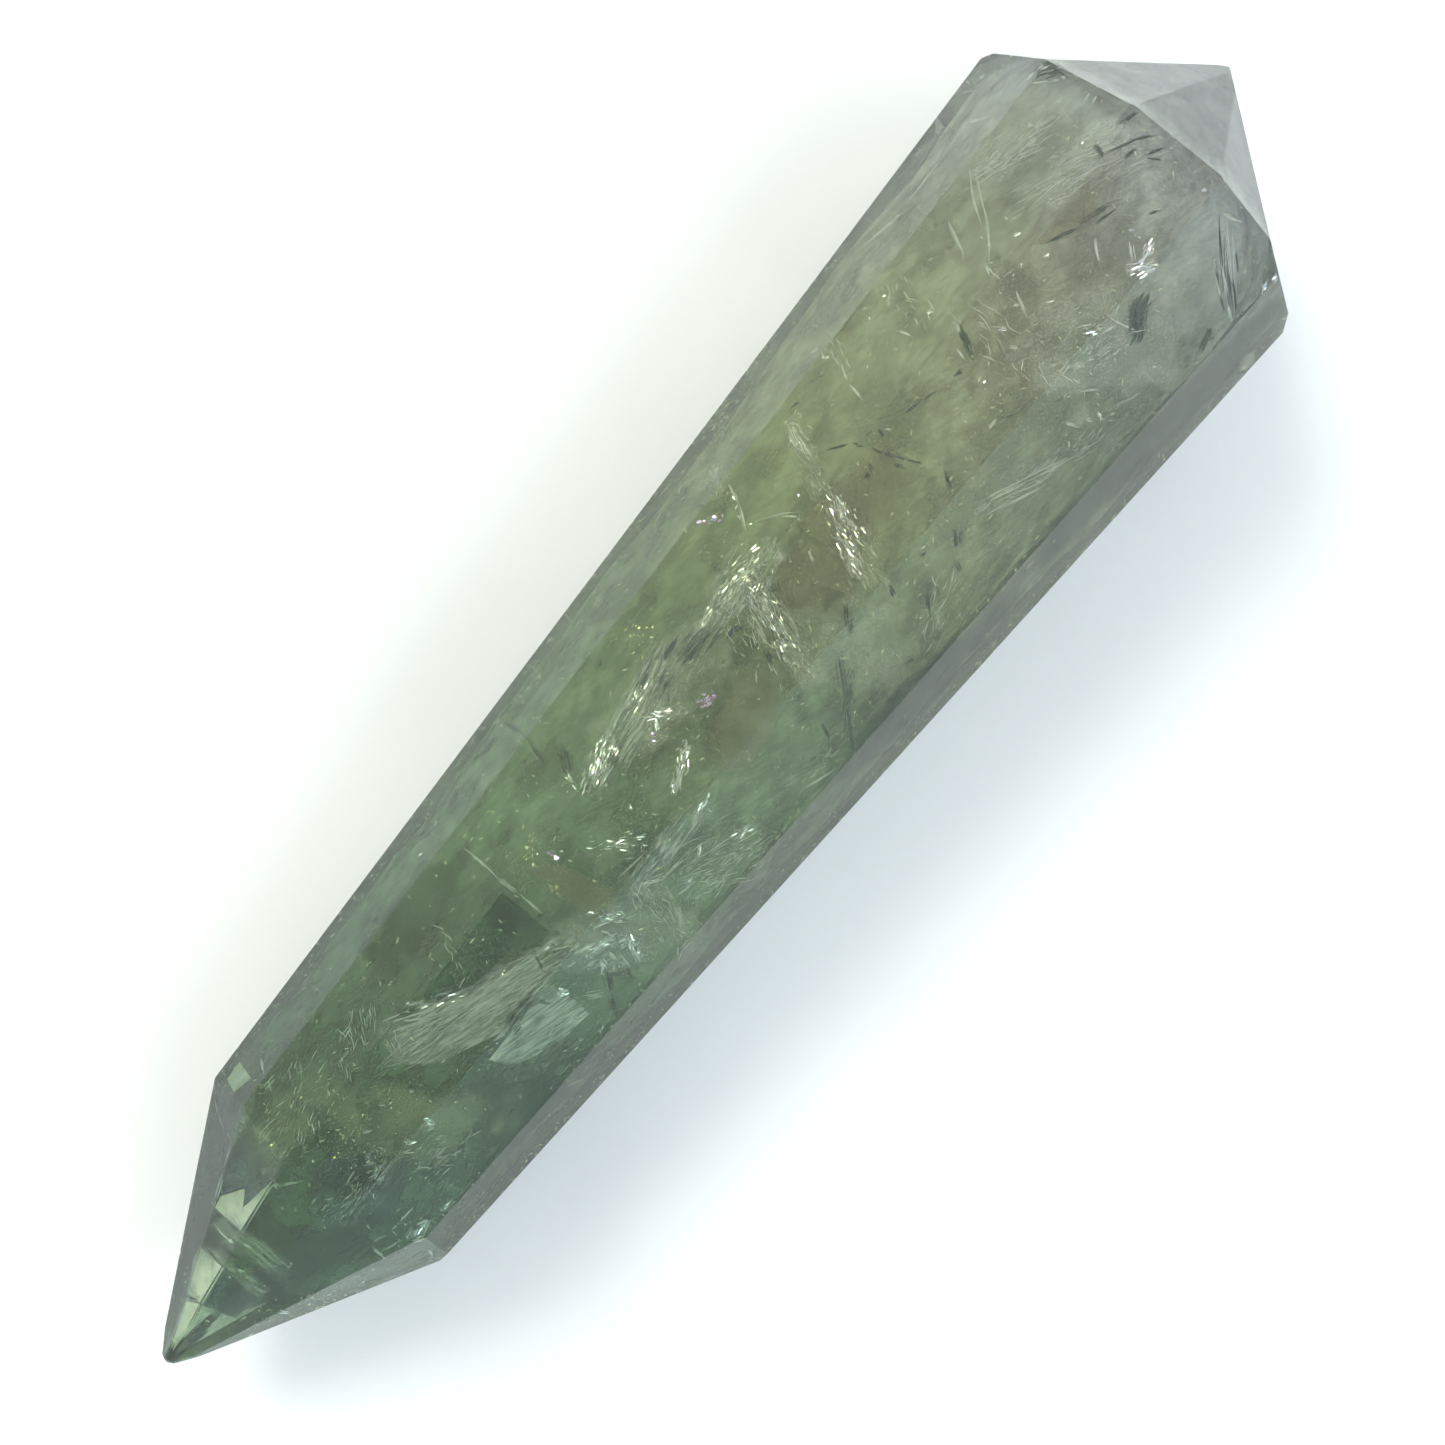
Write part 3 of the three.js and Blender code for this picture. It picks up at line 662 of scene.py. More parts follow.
class StageSizes(PropertyGroup):
    """The surface under the stone and the camera."""

    floor_size: FloatProperty(
        name="Floor size",
        description="Side of the square floor",
        default=6.0,
        unit="LENGTH",
    )
    floor_gap: FloatProperty(
        name="Floor gap",
        description="How far the floor lies under the resting facet, so that light passes between them",
        default=0.1 * MM,
        unit="LENGTH",
    )
    camera_place: FloatVectorProperty(
        name="Camera place",
        description="Where the camera stands, above the stone's narrow end",
        default=(-0.03565, 0.00039, 0.18910),
        subtype="TRANSLATION",
        unit="LENGTH",
    )
    camera_lens: FloatProperty(
        name="Lens",
        description="Focal length on a sensor 36 mm wide, in millimetres",
        default=77.09,
    )
    camera_lean: FloatProperty(
        name="Lean",
        description="How far the view leans from straight down towards the crown",
        default=math.radians(10.855),
        subtype="ANGLE",
    )
    camera_tilt: FloatProperty(
        name="Tilt",
        description="How far the view leans sideways, towards +Y",
        default=math.radians(-0.55),
        subtype="ANGLE",
    )
    camera_roll: FloatProperty(
        name="Roll",
        description="How far the picture is turned, so that the stone runs corner to corner",
        default=math.radians(50.555),
        subtype="ANGLE",
    )


class InclusionSizes(PropertyGroup):
    """How thick the films and how many the glints inside the stone are."""

    film_thickness: FloatProperty(
        name="Film thickness",
        description="Thickness of the veils and fracture films",
        default=0.02 * MM,
        unit="LENGTH",
    )
    speck_count: IntProperty(
        name="Specks",
        description="How many loose specks lie through the whole stone",
        default=5000,
    )
    scale_count: IntProperty(
        name="Loose scales",
        description="How many tiny mirroring scales lie through the whole stone",
        default=1500,
    )


def linear(hex_colour):
    """An sRGB hex colour as linear red, green, blue and alpha."""
    channels = [int(hex_colour[i : i + 2], 16) / 255 for i in (1, 3, 5)]
    return [c / 12.92 if c <= 0.04045 else ((c + 0.055) / 1.055) ** 2.4 for c in channels] + [1.0]


def add_node(tree, kind, settings=None, inputs=None):
    """Adds a shader node, sets its settings, and fills or links its inputs by name or number."""
    node = tree.nodes.new(kind)
    for name, value in (settings or {}).items():
        setattr(node, name, value)
    for name, value in (inputs or {}).items():
        if isinstance(value, bpy.types.NodeSocket):
            tree.links.new(value, node.inputs[name])
        else:
            node.inputs[name].default_value = value
    return node


def new_material(name):
    """A material with an empty node tree."""
    material = bpy.data.materials.new(name)
    material.use_nodes = True
    material.node_tree.nodes.clear()
    return material, material.node_tree


def ramp(tree, factor, stops):
    """A colour ramp node with the given (position, colour) stops."""
    node = add_node(tree, "ShaderNodeValToRGB", inputs={"Fac": factor})
    elements = node.color_ramp.elements
    while len(elements) < len(stops):
        elements.new(1.0)
    for element, (position, colour) in zip(elements, stops):
        element.position = position
        element.color = colour
    return node.outputs["Color"]


def grey(value):
    """A grey ramp stop."""
    return (value, value, value, 1.0)


def pattern(tree, size, stretch=(1.0, 1.0, 1.0), turn=(0.0, 0.0, 0.0), detail=3.0, distortion=0.0):
    """A noise pattern whose grain is size metres across, stretched and turned in the stone's own frame."""
    place = add_node(tree, "ShaderNodeTexCoord")
    mapping = add_node(
        tree,
        "ShaderNodeMapping",
        {"vector_type": "TEXTURE"},
        {"Vector": place.outputs["Object"], "Rotation": turn, "Scale": stretch},
    )
    grain = add_node(
        tree,
        "ShaderNodeTexNoise",
        inputs={
            "Vector": mapping.outputs["Vector"],
            "Scale": 1.0 / size,
            "Detail": detail,
            "Distortion": distortion,
        },
    )
    return grain.outputs["Fac"]


def multiply(tree, first, second):
    """The product of two numbers."""
    return add_node(tree, "ShaderNodeMath", {"operation": "MULTIPLY"}, {0: first, 1: second}).outputs[0]


def dye(tree, first, second):
    """The product of two colours, channel by channel."""
    node = add_node(tree, "ShaderNodeVectorMath", {"operation": "MULTIPLY"}, {0: first, 1: second})
    return node.outputs[0]


def surface_output(tree, shader, volume=None):
    """Ends a node tree."""
    links = {"Surface": shader.outputs[0]}
    if volume:
        links["Volume"] = volume.outputs[0]
    add_node(tree, "ShaderNodeOutputMaterial", inputs=links)


def length_share(tree):
    """How far along the stone a place is, from none at the point to one at the crown."""
    place = add_node(tree, "ShaderNodeTexCoord")
    split = add_node(tree, "ShaderNodeSeparateXYZ", inputs={"Vector": place.outputs["Object"]})
    share = add_node(
        tree,
        "ShaderNodeMapRange",
        inputs={"Value": split.outputs["X"], "From Min": LOW.x, "From Max": HIGH.x},
    )
    return share.outputs[0]


def zoning(tree, stops):
    """The stone's colour along its length: stops are (millimetres from the point, hex colour)."""
    place = add_node(tree, "ShaderNodeTexCoord")
    split = add_node(tree, "ShaderNodeSeparateXYZ", inputs={"Vector": place.outputs["Object"]})
    stray = add_node(
        tree,
        "ShaderNodeMapRange",
        inputs={
            "Value": pattern(tree, 9.0 * MM, detail=1.0),
            "To Min": -ZONE_STRAY,
            "To Max": ZONE_STRAY,
        },
    )
    along = add_node(
        tree,
        "ShaderNodeMath",
        {"operation": "ADD"},
        {0: split.outputs["X"], 1: stray.outputs[0]},
    )
    share = add_node(
        tree,
        "ShaderNodeMapRange",
        inputs={"Value": along.outputs[0], "From Min": LOW.x, "From Max": HIGH.x},
    )
    colours = [(distance * MM / LENGTH, linear(colour)) for distance, colour in stops]
    return ramp(tree, share.outputs[0], colours)


def tinted(tree, colour, low, high, size, detail):
    """A colour that a pattern darkens and lightens between two factors."""
    grain = pattern(tree, size, detail=detail)
    return dye(tree, colour, ramp(tree, grain, [(0.3, grey(low)), (0.7, grey(high))]))


def prasiolite():
    """Polished green quartz.

    Clear, with the slight ripple that hand polishing on a wheel leaves, so reflections are
    crisp but not dead straight. The green deepens with the path through the stone, and is
    stronger towards the narrow end. A film of dust and fine scratches makes it a little milky.
    """
    material, tree = new_material("prasiolite_polished")
    bump = add_node(
        tree,
        "ShaderNodeBump",
        inputs={"Strength": 0.05, "Distance": 0.2 * MM, "Height": pattern(tree, 4.0 * MM)},
    )
    smear = ramp(tree, pattern(tree, 1.5 * MM, (1.0, 0.15, 0.15)), [(0.3, grey(0.01)), (0.8, grey(0.05))])
    share = length_share(tree)
    crown = ramp(tree, share, [(CROWN_START, grey(1.0)), (CROWN_FULL, grey(0.42))])
    clearness = ramp(tree, share, [(CROWN_START, grey(0.965)), (CROWN_FULL, grey(0.85))])
    # Painted light: each facet's painted reflection and shade, stored at its corners, tints the colour.
    facet = add_node(tree, "ShaderNodeAttribute", {"attribute_name": "painted_facet_light"})
    tone = dye(tree, dye(tree, zoning(tree, CLEAR), crown), facet.outputs["Color"])
    surface = add_node(
        tree,
        "ShaderNodeBsdfPrincipled",
        inputs={
            "Base Color": tone,
            "Roughness": smear,
            "IOR": QUARTZ_IOR,
            "Transmission Weight": clearness,
            "Normal": bump.outputs[0],
        },
    )
    inside = add_node(
        tree,
        "ShaderNodeVolumeAbsorption",
        inputs={"Color": BODY_TINT, "Density": BODY_DENSITY},
    )
    surface_output(tree, surface, inside)
    return material


def cloud_material(name, stops, thin, thick):
    """Cloudy quartz.

    Fluid bubbles too small to see, thick in some places and thin in others, so that the stone
    looks milky from end to end, mottled in blotches and fine feathery streaks.
    """
    material, tree = new_material(name)
    tone = tinted(tree, zoning(tree, stops), 0.84, 1.16, 1.4 * MM, 5.0)
    blotches = pattern(tree, 2.4 * MM, (1.4, 1.0, 1.0), (0, 0, 0.5), detail=4.0)
    strength = ramp(tree, blotches, [(0.38, grey(thin)), (0.62, grey(thick))])
    feathers = pattern(tree, 0.3 * MM, (4.0, 1.0, 1.0), (0, 0, math.radians(-20)), detail=1.0)
    strength = multiply(tree, strength, ramp(tree, feathers, [(0.35, grey(0.82)), (0.62, grey(1.0))]))
    fade = add_node(tree, "ShaderNodeAttribute", {"attribute_name": "fade"})
    shader = add_node(
        tree,
        "ShaderNodeBsdfPrincipled",
        inputs={
            "Base Color": tone,
            "Roughness": 0.6,
            "Specular IOR Level": 0.0,
            "Alpha": multiply(tree, strength, fade.outputs["Fac"]),
        },
    )
    surface_output(tree, shader)
    return material


def pane_material(name, pale, deep, opacity):
    """A patch of mirrored light or shade.

    Flat and even, as a facet seen in another facet is, with a slow change of tone across it and
    the mottling of the quartz in between. The stained sheets use it too, as the quartz's own colour.
    """
    material, tree = new_material(name)
    tone = ramp(tree, pattern(tree, 2.2 * MM, detail=2.0), [(0.4, linear(deep)), (0.6, linear(pale))])
    cover = ramp(
        tree,
        pattern(tree, 0.7 * MM),
        [(0.3, grey(0.75 * opacity)), (0.6, grey(opacity))],
    )
    fade = add_node(tree, "ShaderNodeAttribute", {"attribute_name": "fade"})
    shader = add_node(
        tree,
        "ShaderNodeBsdfPrincipled",
        inputs={
            "Base Color": tone,
            "Roughness": 0.6,
            "Specular IOR Level": 0.0,
            "Alpha": multiply(tree, cover, fade.outputs["Fac"]),
        },
    )
    surface_output(tree, shader)
    return material


def streaked_material(
    name, pale, deep, opacity, yaw, grain=0.22 * MM, draw=9.0, low=0.46, high=0.60, haze=0.12
):
    """A feathery fracture.

    Fine parallel steps where the quartz has split catch the light as bright streaks, with a
    thinner haze between them. The streaks run at an angle in degrees from the stone's length.
    """
    material, tree = new_material(name)
    turn = (0.0, 0.0, math.radians(yaw))
    steps = pattern(tree, grain, (draw, 1.0, 1.0), turn, detail=2.0, distortion=0.15)
    patches = pattern(tree, 1.6 * MM, (1.5, 1.0, 1.0), turn, detail=3.0)
    strength = multiply(
        tree,
        ramp(tree, steps, [(low, grey(haze * opacity)), (high, grey(opacity))]),
        ramp(tree, patches, [(0.36, grey(max(0.15, haze))), (0.58, grey(1.0))]),
    )
    fade = add_node(tree, "ShaderNodeAttribute", {"attribute_name": "fade"})
    bump = add_node(tree, "ShaderNodeBump", inputs={"Strength": 0.8, "Distance": 0.2 * MM, "Height": steps})
    shader = add_node(
        tree,
        "ShaderNodeBsdfPrincipled",
        inputs={
            "Base Color": ramp(tree, steps, [(0.4, linear(deep)), (0.6, linear(pale))]),
            "Roughness": 0.35,
            "Alpha": multiply(tree, strength, fade.outputs["Fac"]),
            "Normal": bump.outputs[0],
        },
    )
    surface_output(tree, shader)
    return material


def film_material(name, tones, roughness):
    """A fracture film.

    A gap of air so thin that it mirrors light back through the quartz, in small bright scales,
    some of them tinted where the gap is a few light waves wide.
    """
    material, tree = new_material(name)
    tone = ramp(
        tree,
        pattern(tree, 0.5 * MM, detail=1.0),
        [(0.3 + 0.4 * i / (len(tones) - 1), linear(tone)) for i, tone in enumerate(tones)],
    )
    shader = add_node(
        tree,
        "ShaderNodeBsdfPrincipled",
        inputs={"Base Color": tone, "Metallic": 1.0, "Roughness": roughness},
    )
    surface_output(tree, shader)
    return material


def grain_material(name, pale, deep, roughness, size=0.4 * MM):
    """Solid grains in the quartz: mineral specks, needles and dark crack fillings, uneven in tone."""
    material, tree = new_material(name)
    tone = ramp(tree, pattern(tree, size), [(0.35, linear(deep)), (0.65, linear(pale))])
    shader = add_node(
        tree, "ShaderNodeBsdfPrincipled", inputs={"Base Color": tone, "Roughness": roughness}
    )
    surface_output(tree, shader)
    return material


def floor_material():
    """Matt pale board: a dry, pale grey surface with a faint tooth."""
    material, tree = new_material("floor_matt_board")
    tooth = pattern(tree, 1.2 * MM, detail=2.0)
    bump = add_node(
        tree, "ShaderNodeBump", inputs={"Strength": 0.05, "Distance": 0.2 * MM, "Height": tooth}
    )
    tone = ramp(tree, pattern(tree, 40 * MM), [(0.4, linear("#ced2d3")), (0.6, linear("#d3d7d8"))])
    shader = add_node(
        tree,
        "ShaderNodeBsdfPrincipled",
        inputs={"Base Color": tone, "Roughness": 0.9, "Normal": bump.outputs[0]},
    )
    surface_output(tree, shader)
    return material


def deselect():
    """Leaves nothing selected and no object active."""
    bpy.ops.object.select_all(action="DESELECT")
    bpy.context.view_layer.objects.active = None


def make_active(piece):
    """Selects one piece alone and makes it active."""
    deselect()
    piece.select_set(True)
    bpy.context.view_layer.objects.active = piece


def settle(piece, material):
    """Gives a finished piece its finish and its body."""
    piece.data.materials.clear()
    piece.data.materials.append(material)
    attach(piece, BODY)


def axis_height(along):
    """How high the stone's axis is above the floor, at a distance from its point."""
    return POINT_HEIGHT + (CROWN_HEIGHT - POINT_HEIGHT) * along / LENGTH


def seen(along, across, depth):
    """The place inside the stone that the camera sees at a spot, and which way its facet faces.

    The spot is in millimetres, from the point towards the crown and from the axis towards +Y,
    on the level plane through the axis. The depth is measured along the line of sight, which
    bends where it enters the quartz.
    """
    eye = Vector(bpy.context.scene.wand_stage.camera_place)
    spot = Vector((LOW.x + along * MM, across * MM, axis_height(along * MM)))
    sight = (spot - eye).normalized()
    entry, normal, _, _ = SURFACE.ray_cast(eye, sight)
    if entry is None:
        raise RuntimeError(f"the spot {along}, {across} is beside the stone")
    slant = -normal.dot(sight)
    ratio = 1.0 / QUARTZ_IOR
    inward = ratio * slant - math.sqrt(1.0 - ratio * ratio * (1.0 - slant * slant))
    return entry + (sight * ratio + normal * inward) * depth * MM, normal


def lying_on(normal, yaw):
    """A turn that lays a flat thing parallel to a facet, its length at a yaw in degrees."""
    length = Vector((math.cos(math.radians(yaw)), math.sin(math.radians(yaw)), 0.0))
    length = (length - normal * length.dot(normal)).normalized()
    return Matrix((length, normal.cross(length), normal)).transposed()


def is_inside(place, margin):
    """Whether a place is in the stone, at least a margin away from its surface."""
    nearest, normal, _, distance = SURFACE.find_nearest(place)
    return (place - nearest).dot(normal) < 0 and distance > margin


def turned(yaw, pitch, roll):
    """A turn in degrees: yaw about +Z, then pitch up and roll, as a 3 by 3 matrix."""
    return Euler((math.radians(roll), math.radians(-pitch), math.radians(yaw)), "XYZ").to_matrix()


def smooth(value):
    """Eases a number between 0 and 1."""
    value = min(max(value, 0.0), 1.0)
    return value * value * (3.0 - 2.0 * value)


def flake_shape():
    """A thin scale with an uneven outline, one unit across and lying flat."""
    deselect()
    bpy.ops.mesh.primitive_cylinder_add(vertices=FLAKE_SIDES, radius=0.5, depth=0.05)
    flake = bpy.context.active_object
    rng = random.Random(3)
    rim = [rng.uniform(0.55, 1.15) for _ in range(FLAKE_SIDES)]
    for vertex in flake.data.vertices:
        angle = math.atan2(vertex.co.y, vertex.co.x) % math.tau
        stretch = rim[round(angle / math.tau * FLAKE_SIDES) % FLAKE_SIDES]
        vertex.co.x *= stretch
        vertex.co.y *= stretch
    return flake


def needle_shape(segments=6):
    """A thin rod along X, one unit long and one thick, drawn out to a fine point at both ends."""
    deselect()
    bpy.ops.mesh.primitive_cylinder_add(
        vertices=5, radius=0.5, depth=1.0, rotation=(0, math.pi / 2, 0), end_fill_type="NGON"
    )
    needle = bpy.context.active_object
    bpy.ops.object.transform_apply(location=True, rotation=True, scale=True)
    bpy.ops.object.mode_set(mode="EDIT")
    for cut in range(1, segments):
        bpy.ops.mesh.select_all(action="SELECT")
        bpy.ops.mesh.bisect(plane_co=(cut / segments - 0.5, 0, 0), plane_no=(1, 0, 0))
    bpy.ops.object.mode_set(mode="OBJECT")
    for vertex in needle.data.vertices:
        taper = max(math.sqrt(max(0.0, 1.0 - (2.0 * vertex.co.x) ** 2)), 0.08)
        vertex.co.y *= taper
        vertex.co.z *= taper
    return needle


def speck_shape():
    """A small uneven grain, one unit across."""
    deselect()
    bpy.ops.mesh.primitive_ico_sphere_add(subdivisions=1, radius=0.5)
    speck = bpy.context.active_object
    rng = random.Random(5)
    for vertex in speck.data.vertices:
        vertex.co *= rng.uniform(0.7, 1.15)
    return speck


def scatter(name, shape, spots):
    """Copies a shape to many spots and joins the copies into one mesh with a skin of its own.

    A spot is a place, a turn, three sizes and a bow: how far the middle of a rod is pushed
    sideways, as a share of its length.
    """
    corners = [vertex.co.copy() for vertex in shape.data.vertices]
    faces = [list(polygon.vertices) for polygon in shape.data.polygons]
    all_corners, all_faces = [], []
    for place, turn, sizes, bow in spots:
        first = len(all_corners)
        placed = []
        for corner in corners:
            bent = Vector((corner.x * sizes[0], corner.y * sizes[1], corner.z * sizes[2]))
            bent.y += bow * sizes[0] * (1.0 - 4.0 * corner.x * corner.x)
            placed.append(place + turn @ bent)
        if all(is_inside(corner, CORNER_SKIN) for corner in placed):
            all_corners.extend(placed)
            all_faces.extend([first + index for index in face] for face in faces)
    bpy.data.objects.remove(shape)
    if not all_faces:
        raise RuntimeError(f"no copy of {name} lies inside the stone")
    mesh = bpy.data.meshes.new(name)
    mesh.from_pydata(all_corners, [], all_faces)
    piece = bpy.data.objects.new(name, mesh)
    bpy.context.scene.collection.objects.link(piece)
    return piece


def in_ball(rng):
    """A random place in a ball of radius one, denser in the middle."""
    direction = Vector((rng.gauss(0, 1), rng.gauss(0, 1), rng.gauss(0, 1))).normalized()
    return direction * rng.random() ** 0.6


def swarm(seed, clusters, sizes, shares, spread, bend=0.05, times=1):
    """Spots for small grains in clusters.

    Sizes are the smallest and the largest grain in millimetres, shares are its width and its
    thickness as parts of its length, and each grain lies as its cluster does, give or take the
    spread in degrees. Times multiplies how many there are.
    """
    rng = random.Random(seed)
    spots = []
    for (along, across, depth), radii, yaw, count in clusters:
        middle, facing = seen(along, across, depth)
        lie = lying_on(facing, yaw)
        for _ in range(count * times):
            offset = in_ball(rng)
            place = middle + lie @ Vector([o * r * MM for o, r in zip(offset, radii)])
            tilt = turned(rng.gauss(0, 1.5 * spread), rng.gauss(0, spread), rng.gauss(0, spread))
            size = sizes[0] * (sizes[1] / sizes[0]) ** (rng.random() ** 1.6) * MM
            bow = rng.gauss(0, bend)
            if is_inside(place, GRAIN_SKIN):
                spots.append((place, lie @ tilt, (size, size * shares[0], size * shares[1]), bow))
    return spots


def strewn(rng, count):
    """Random places all through the stone, most of them near its surface."""
    places = []
    while len(places) < count:
        place = Vector(
            (rng.uniform(LOW.x, HIGH.x), rng.uniform(LOW.y, HIGH.y), rng.uniform(LOW.z, HIGH.z))
        )
        is_deep = is_inside(place, SPECK_DEPTH)
        if is_inside(place, LOOSE_SKIN) and (not is_deep or rng.random() < DEEP_SHARE):
            places.append(place)
    return places


def strands(seed, cracks, thick, spacing):
    """Spots for rods along single cracks, a bundle of them across the width of each.

    The rods are as thick as given in millimetres, give or take, and the spacing in millimetres
    says how many lie side by side.
    """
    rng = random.Random(seed)
    spots = []
    for along, across, far_along, far_across, depth, width in cracks:
        start = seen(along, across, depth)[0]
        end = seen(far_along, far_across, depth)[0]
        bow = rng.gauss(0, 0.03)
        for _ in range(2 + round(width / spacing)):
            near = start.lerp(end, rng.uniform(0.0, 0.35))
            far = start.lerp(end, rng.uniform(0.65, 1.0))
            side = Vector([rng.gauss(0, 0.3 * width) for _ in range(3)]) * MM
            turn = (far - near).to_track_quat("X", "Z").to_matrix()
            size = thick * rng.uniform(0.6, 1.4) * MM
            sizes = ((far - near).length, size, size * 0.6)
            spots.append(((near + far) / 2 + side, turn, sizes, bow + rng.gauss(0, 0.02)))
    return spots


def sheet(name, middle, angles, length, width, bend, ripple, seed, cells, ragged=0.35):
    """A thin curved sheet with a ragged outline, inside the stone.

    Its middle is where the camera sees it; lengths are in millimetres. The attribute fade is
    one in its middle and falls to nothing at its outline.
    """
    deselect()
    rows = max(8, round(cells * width / length))
    bpy.ops.mesh.primitive_grid_add(x_subdivisions=cells, y_subdivisions=rows, size=2.0)
    piece = bpy.context.active_object
    piece.name = name
    centre, facing = seen(*middle)
    yaw, pitch, roll = angles
    turn = lying_on(facing, yaw) @ turned(0, pitch, roll)
    fades = []
    for vertex in piece.data.vertices:
        u, v = vertex.co.x, vertex.co.y
        swirl = Vector((u * 1.7, v * 1.7 * width / length, seed * 7.3))
        rim = math.hypot(u, v) + ragged * noise.noise(swirl * 2.2) + 0.4 * ragged * noise.noise(swirl * 7.0)
        lift = bend * (u * u - 0.4) * length / 2 + ripple * noise.noise(swirl * 1.3)
        flat = Vector((u * length / 2, v * width / 2, lift)) * MM
        vertex.co = centre + turn @ flat
        inside = is_inside(vertex.co, SHEET_SKIN)
        fades.append(smooth((1.0 - rim) / SHEET_FADE) if inside else -1.0)
    fade = piece.data.attributes.new("fade", "FLOAT", "POINT")
    fade.data.foreach_set("value", [max(value, 0.0) for value in fades])
    make_active(piece)
    bpy.ops.object.mode_set(mode="EDIT")
    bpy.ops.mesh.select_all(action="DESELECT")
    bpy.ops.object.mode_set(mode="OBJECT")
    for polygon in piece.data.polygons:
        values = [fades[index] for index in polygon.vertices]
        polygon.select = max(values) <= 0.0 or min(values) < 0.0
    bpy.ops.object.mode_set(mode="EDIT")
    bpy.ops.mesh.select_mode(type="FACE")
    bpy.ops.mesh.delete(type="FACE")
    bpy.ops.object.mode_set(mode="OBJECT")
    skin = piece.modifiers.new("skin", "SOLIDIFY")
    skin.thickness = bpy.context.scene.wand_inclusions.film_thickness
    skin.offset = 0.0
    bpy.ops.object.modifier_apply(modifier=skin.name)
    bpy.ops.object.shade_smooth()
    return piece


def sheets(name, rows):
    """The sheets of one list."""
    return [sheet(name, *row) for row in rows]


def pane(name, depth, corners):
    """A thin flat plate with straight edges, inside the stone.

    The attribute fade is one in its middle, and has its own strength at each corner.
    """
    deselect()
    bpy.ops.mesh.primitive_circle_add(vertices=len(corners), radius=1.0, fill_type="TRIFAN")
    piece = bpy.context.active_object
    piece.name = name
    rim = [seen(along, across, depth)[0] for along, across, _ in corners]
    hub = sum(rim, Vector()) / len(rim)
    order = sorted(piece.data.vertices, key=lambda vertex: vertex.co.length > 0.5)
    fades = {order[0].index: 1.0}
    order[0].co = hub
    for vertex, place, (_, _, strength) in zip(order[1:], rim, corners):
        vertex.co = place
        fades[vertex.index] = strength
    fade = piece.data.attributes.new("fade", "FLOAT", "POINT")
    fade.data.foreach_set("value", [fades[index] for index in range(len(fades))])
    skin = piece.modifiers.new("skin", "SOLIDIFY")
    skin.thickness = bpy.context.scene.wand_inclusions.film_thickness
    skin.offset = 0.0
    make_active(piece)
    bpy.ops.object.modifier_apply(modifier=skin.name)
    return piece


def panes(name, rows):
    """The plates of one list."""
    return [pane(name, depth, corners) for depth, corners in rows]


def join(name, parts):
    """Joins sheets or plates into one piece."""
    make_active(parts[0])
    for part in parts:
        part.select_set(True)
    if len(parts) > 1:
        bpy.ops.object.join()
    piece = bpy.context.active_object
    piece.name = name
    piece.data.name = name
    return piece


class WAND_OT_stone(Operator):
    """Makes the polished stone from the cut solid, with its edges worn"""

    bl_idname = "wand.stone"
    bl_label = "Polished stone"

    def execute(self, context):
        sizes = context.scene.wand_stone
        stone = bpy.data.objects.new("stone", CUT.copy())
        context.scene.collection.objects.link(stone)
        make_active(stone)
        bpy.ops.object.mode_set(mode="EDIT")
        bpy.ops.mesh.select_all(action="SELECT")
        bpy.ops.mesh.remove_doubles(threshold=0.002 * MM)
        bpy.ops.mesh.dissolve_limited(angle_limit=sizes.flat_angle)
        bpy.ops.mesh.select_all(action="SELECT")
        bpy.ops.mesh.bevel(offset=sizes.edge_wear, offset_type="WIDTH", segments=2, clamp_overlap=True)
        bpy.ops.object.mode_set(mode="OBJECT")
        bpy.ops.object.shade_flat()
        # Paints each facet's reflection and shade into the colour at its corners.
        self.tone(stone)
        settle(stone, prasiolite())
        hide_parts(NODE)
        return {"FINISHED"}

    def tone(self, stone):
        """Stores each facet's painted light at its corners: painted reflection and shade for the light the
        facet bends and mirrors, and painted shade on the worn strips.
        """
        tones = stone.data.attributes.new("painted_facet_light", "FLOAT_COLOR", "CORNER")
        for polygon in stone.data.polygons:
            facing = polygon.normal
            bearing = math.degrees(math.atan2(facing.y, facing.z))
            row = min(FACET_PAINTED_LIGHT, key=lambda row: abs((row[0] - bearing + 180) % 360 - 180))
            corners = [stone.data.vertices[index].co for index in polygon.vertices]
            longest = max((a - b).length for a in corners for b in corners)
            # Painted shade on the worn strips between facets.
            strength = STRIP_PAINTED_SHADE if polygon.area < STRIP_WIDTH * longest else 1.0
            for index, corner in zip(polygon.loop_indices, corners):
                colour = Vector(row[1]).lerp(row[2], (corner.x - LOW.x) / LENGTH)
                if facing.x < POINT_FACING:
                    colour = Vector(row[3])
                if facing.x > CROWN_FACING:
                    colour = Vector((1.0, 1.0, 1.0))
                tones.data[index].color = (*(colour * strength), 1.0)


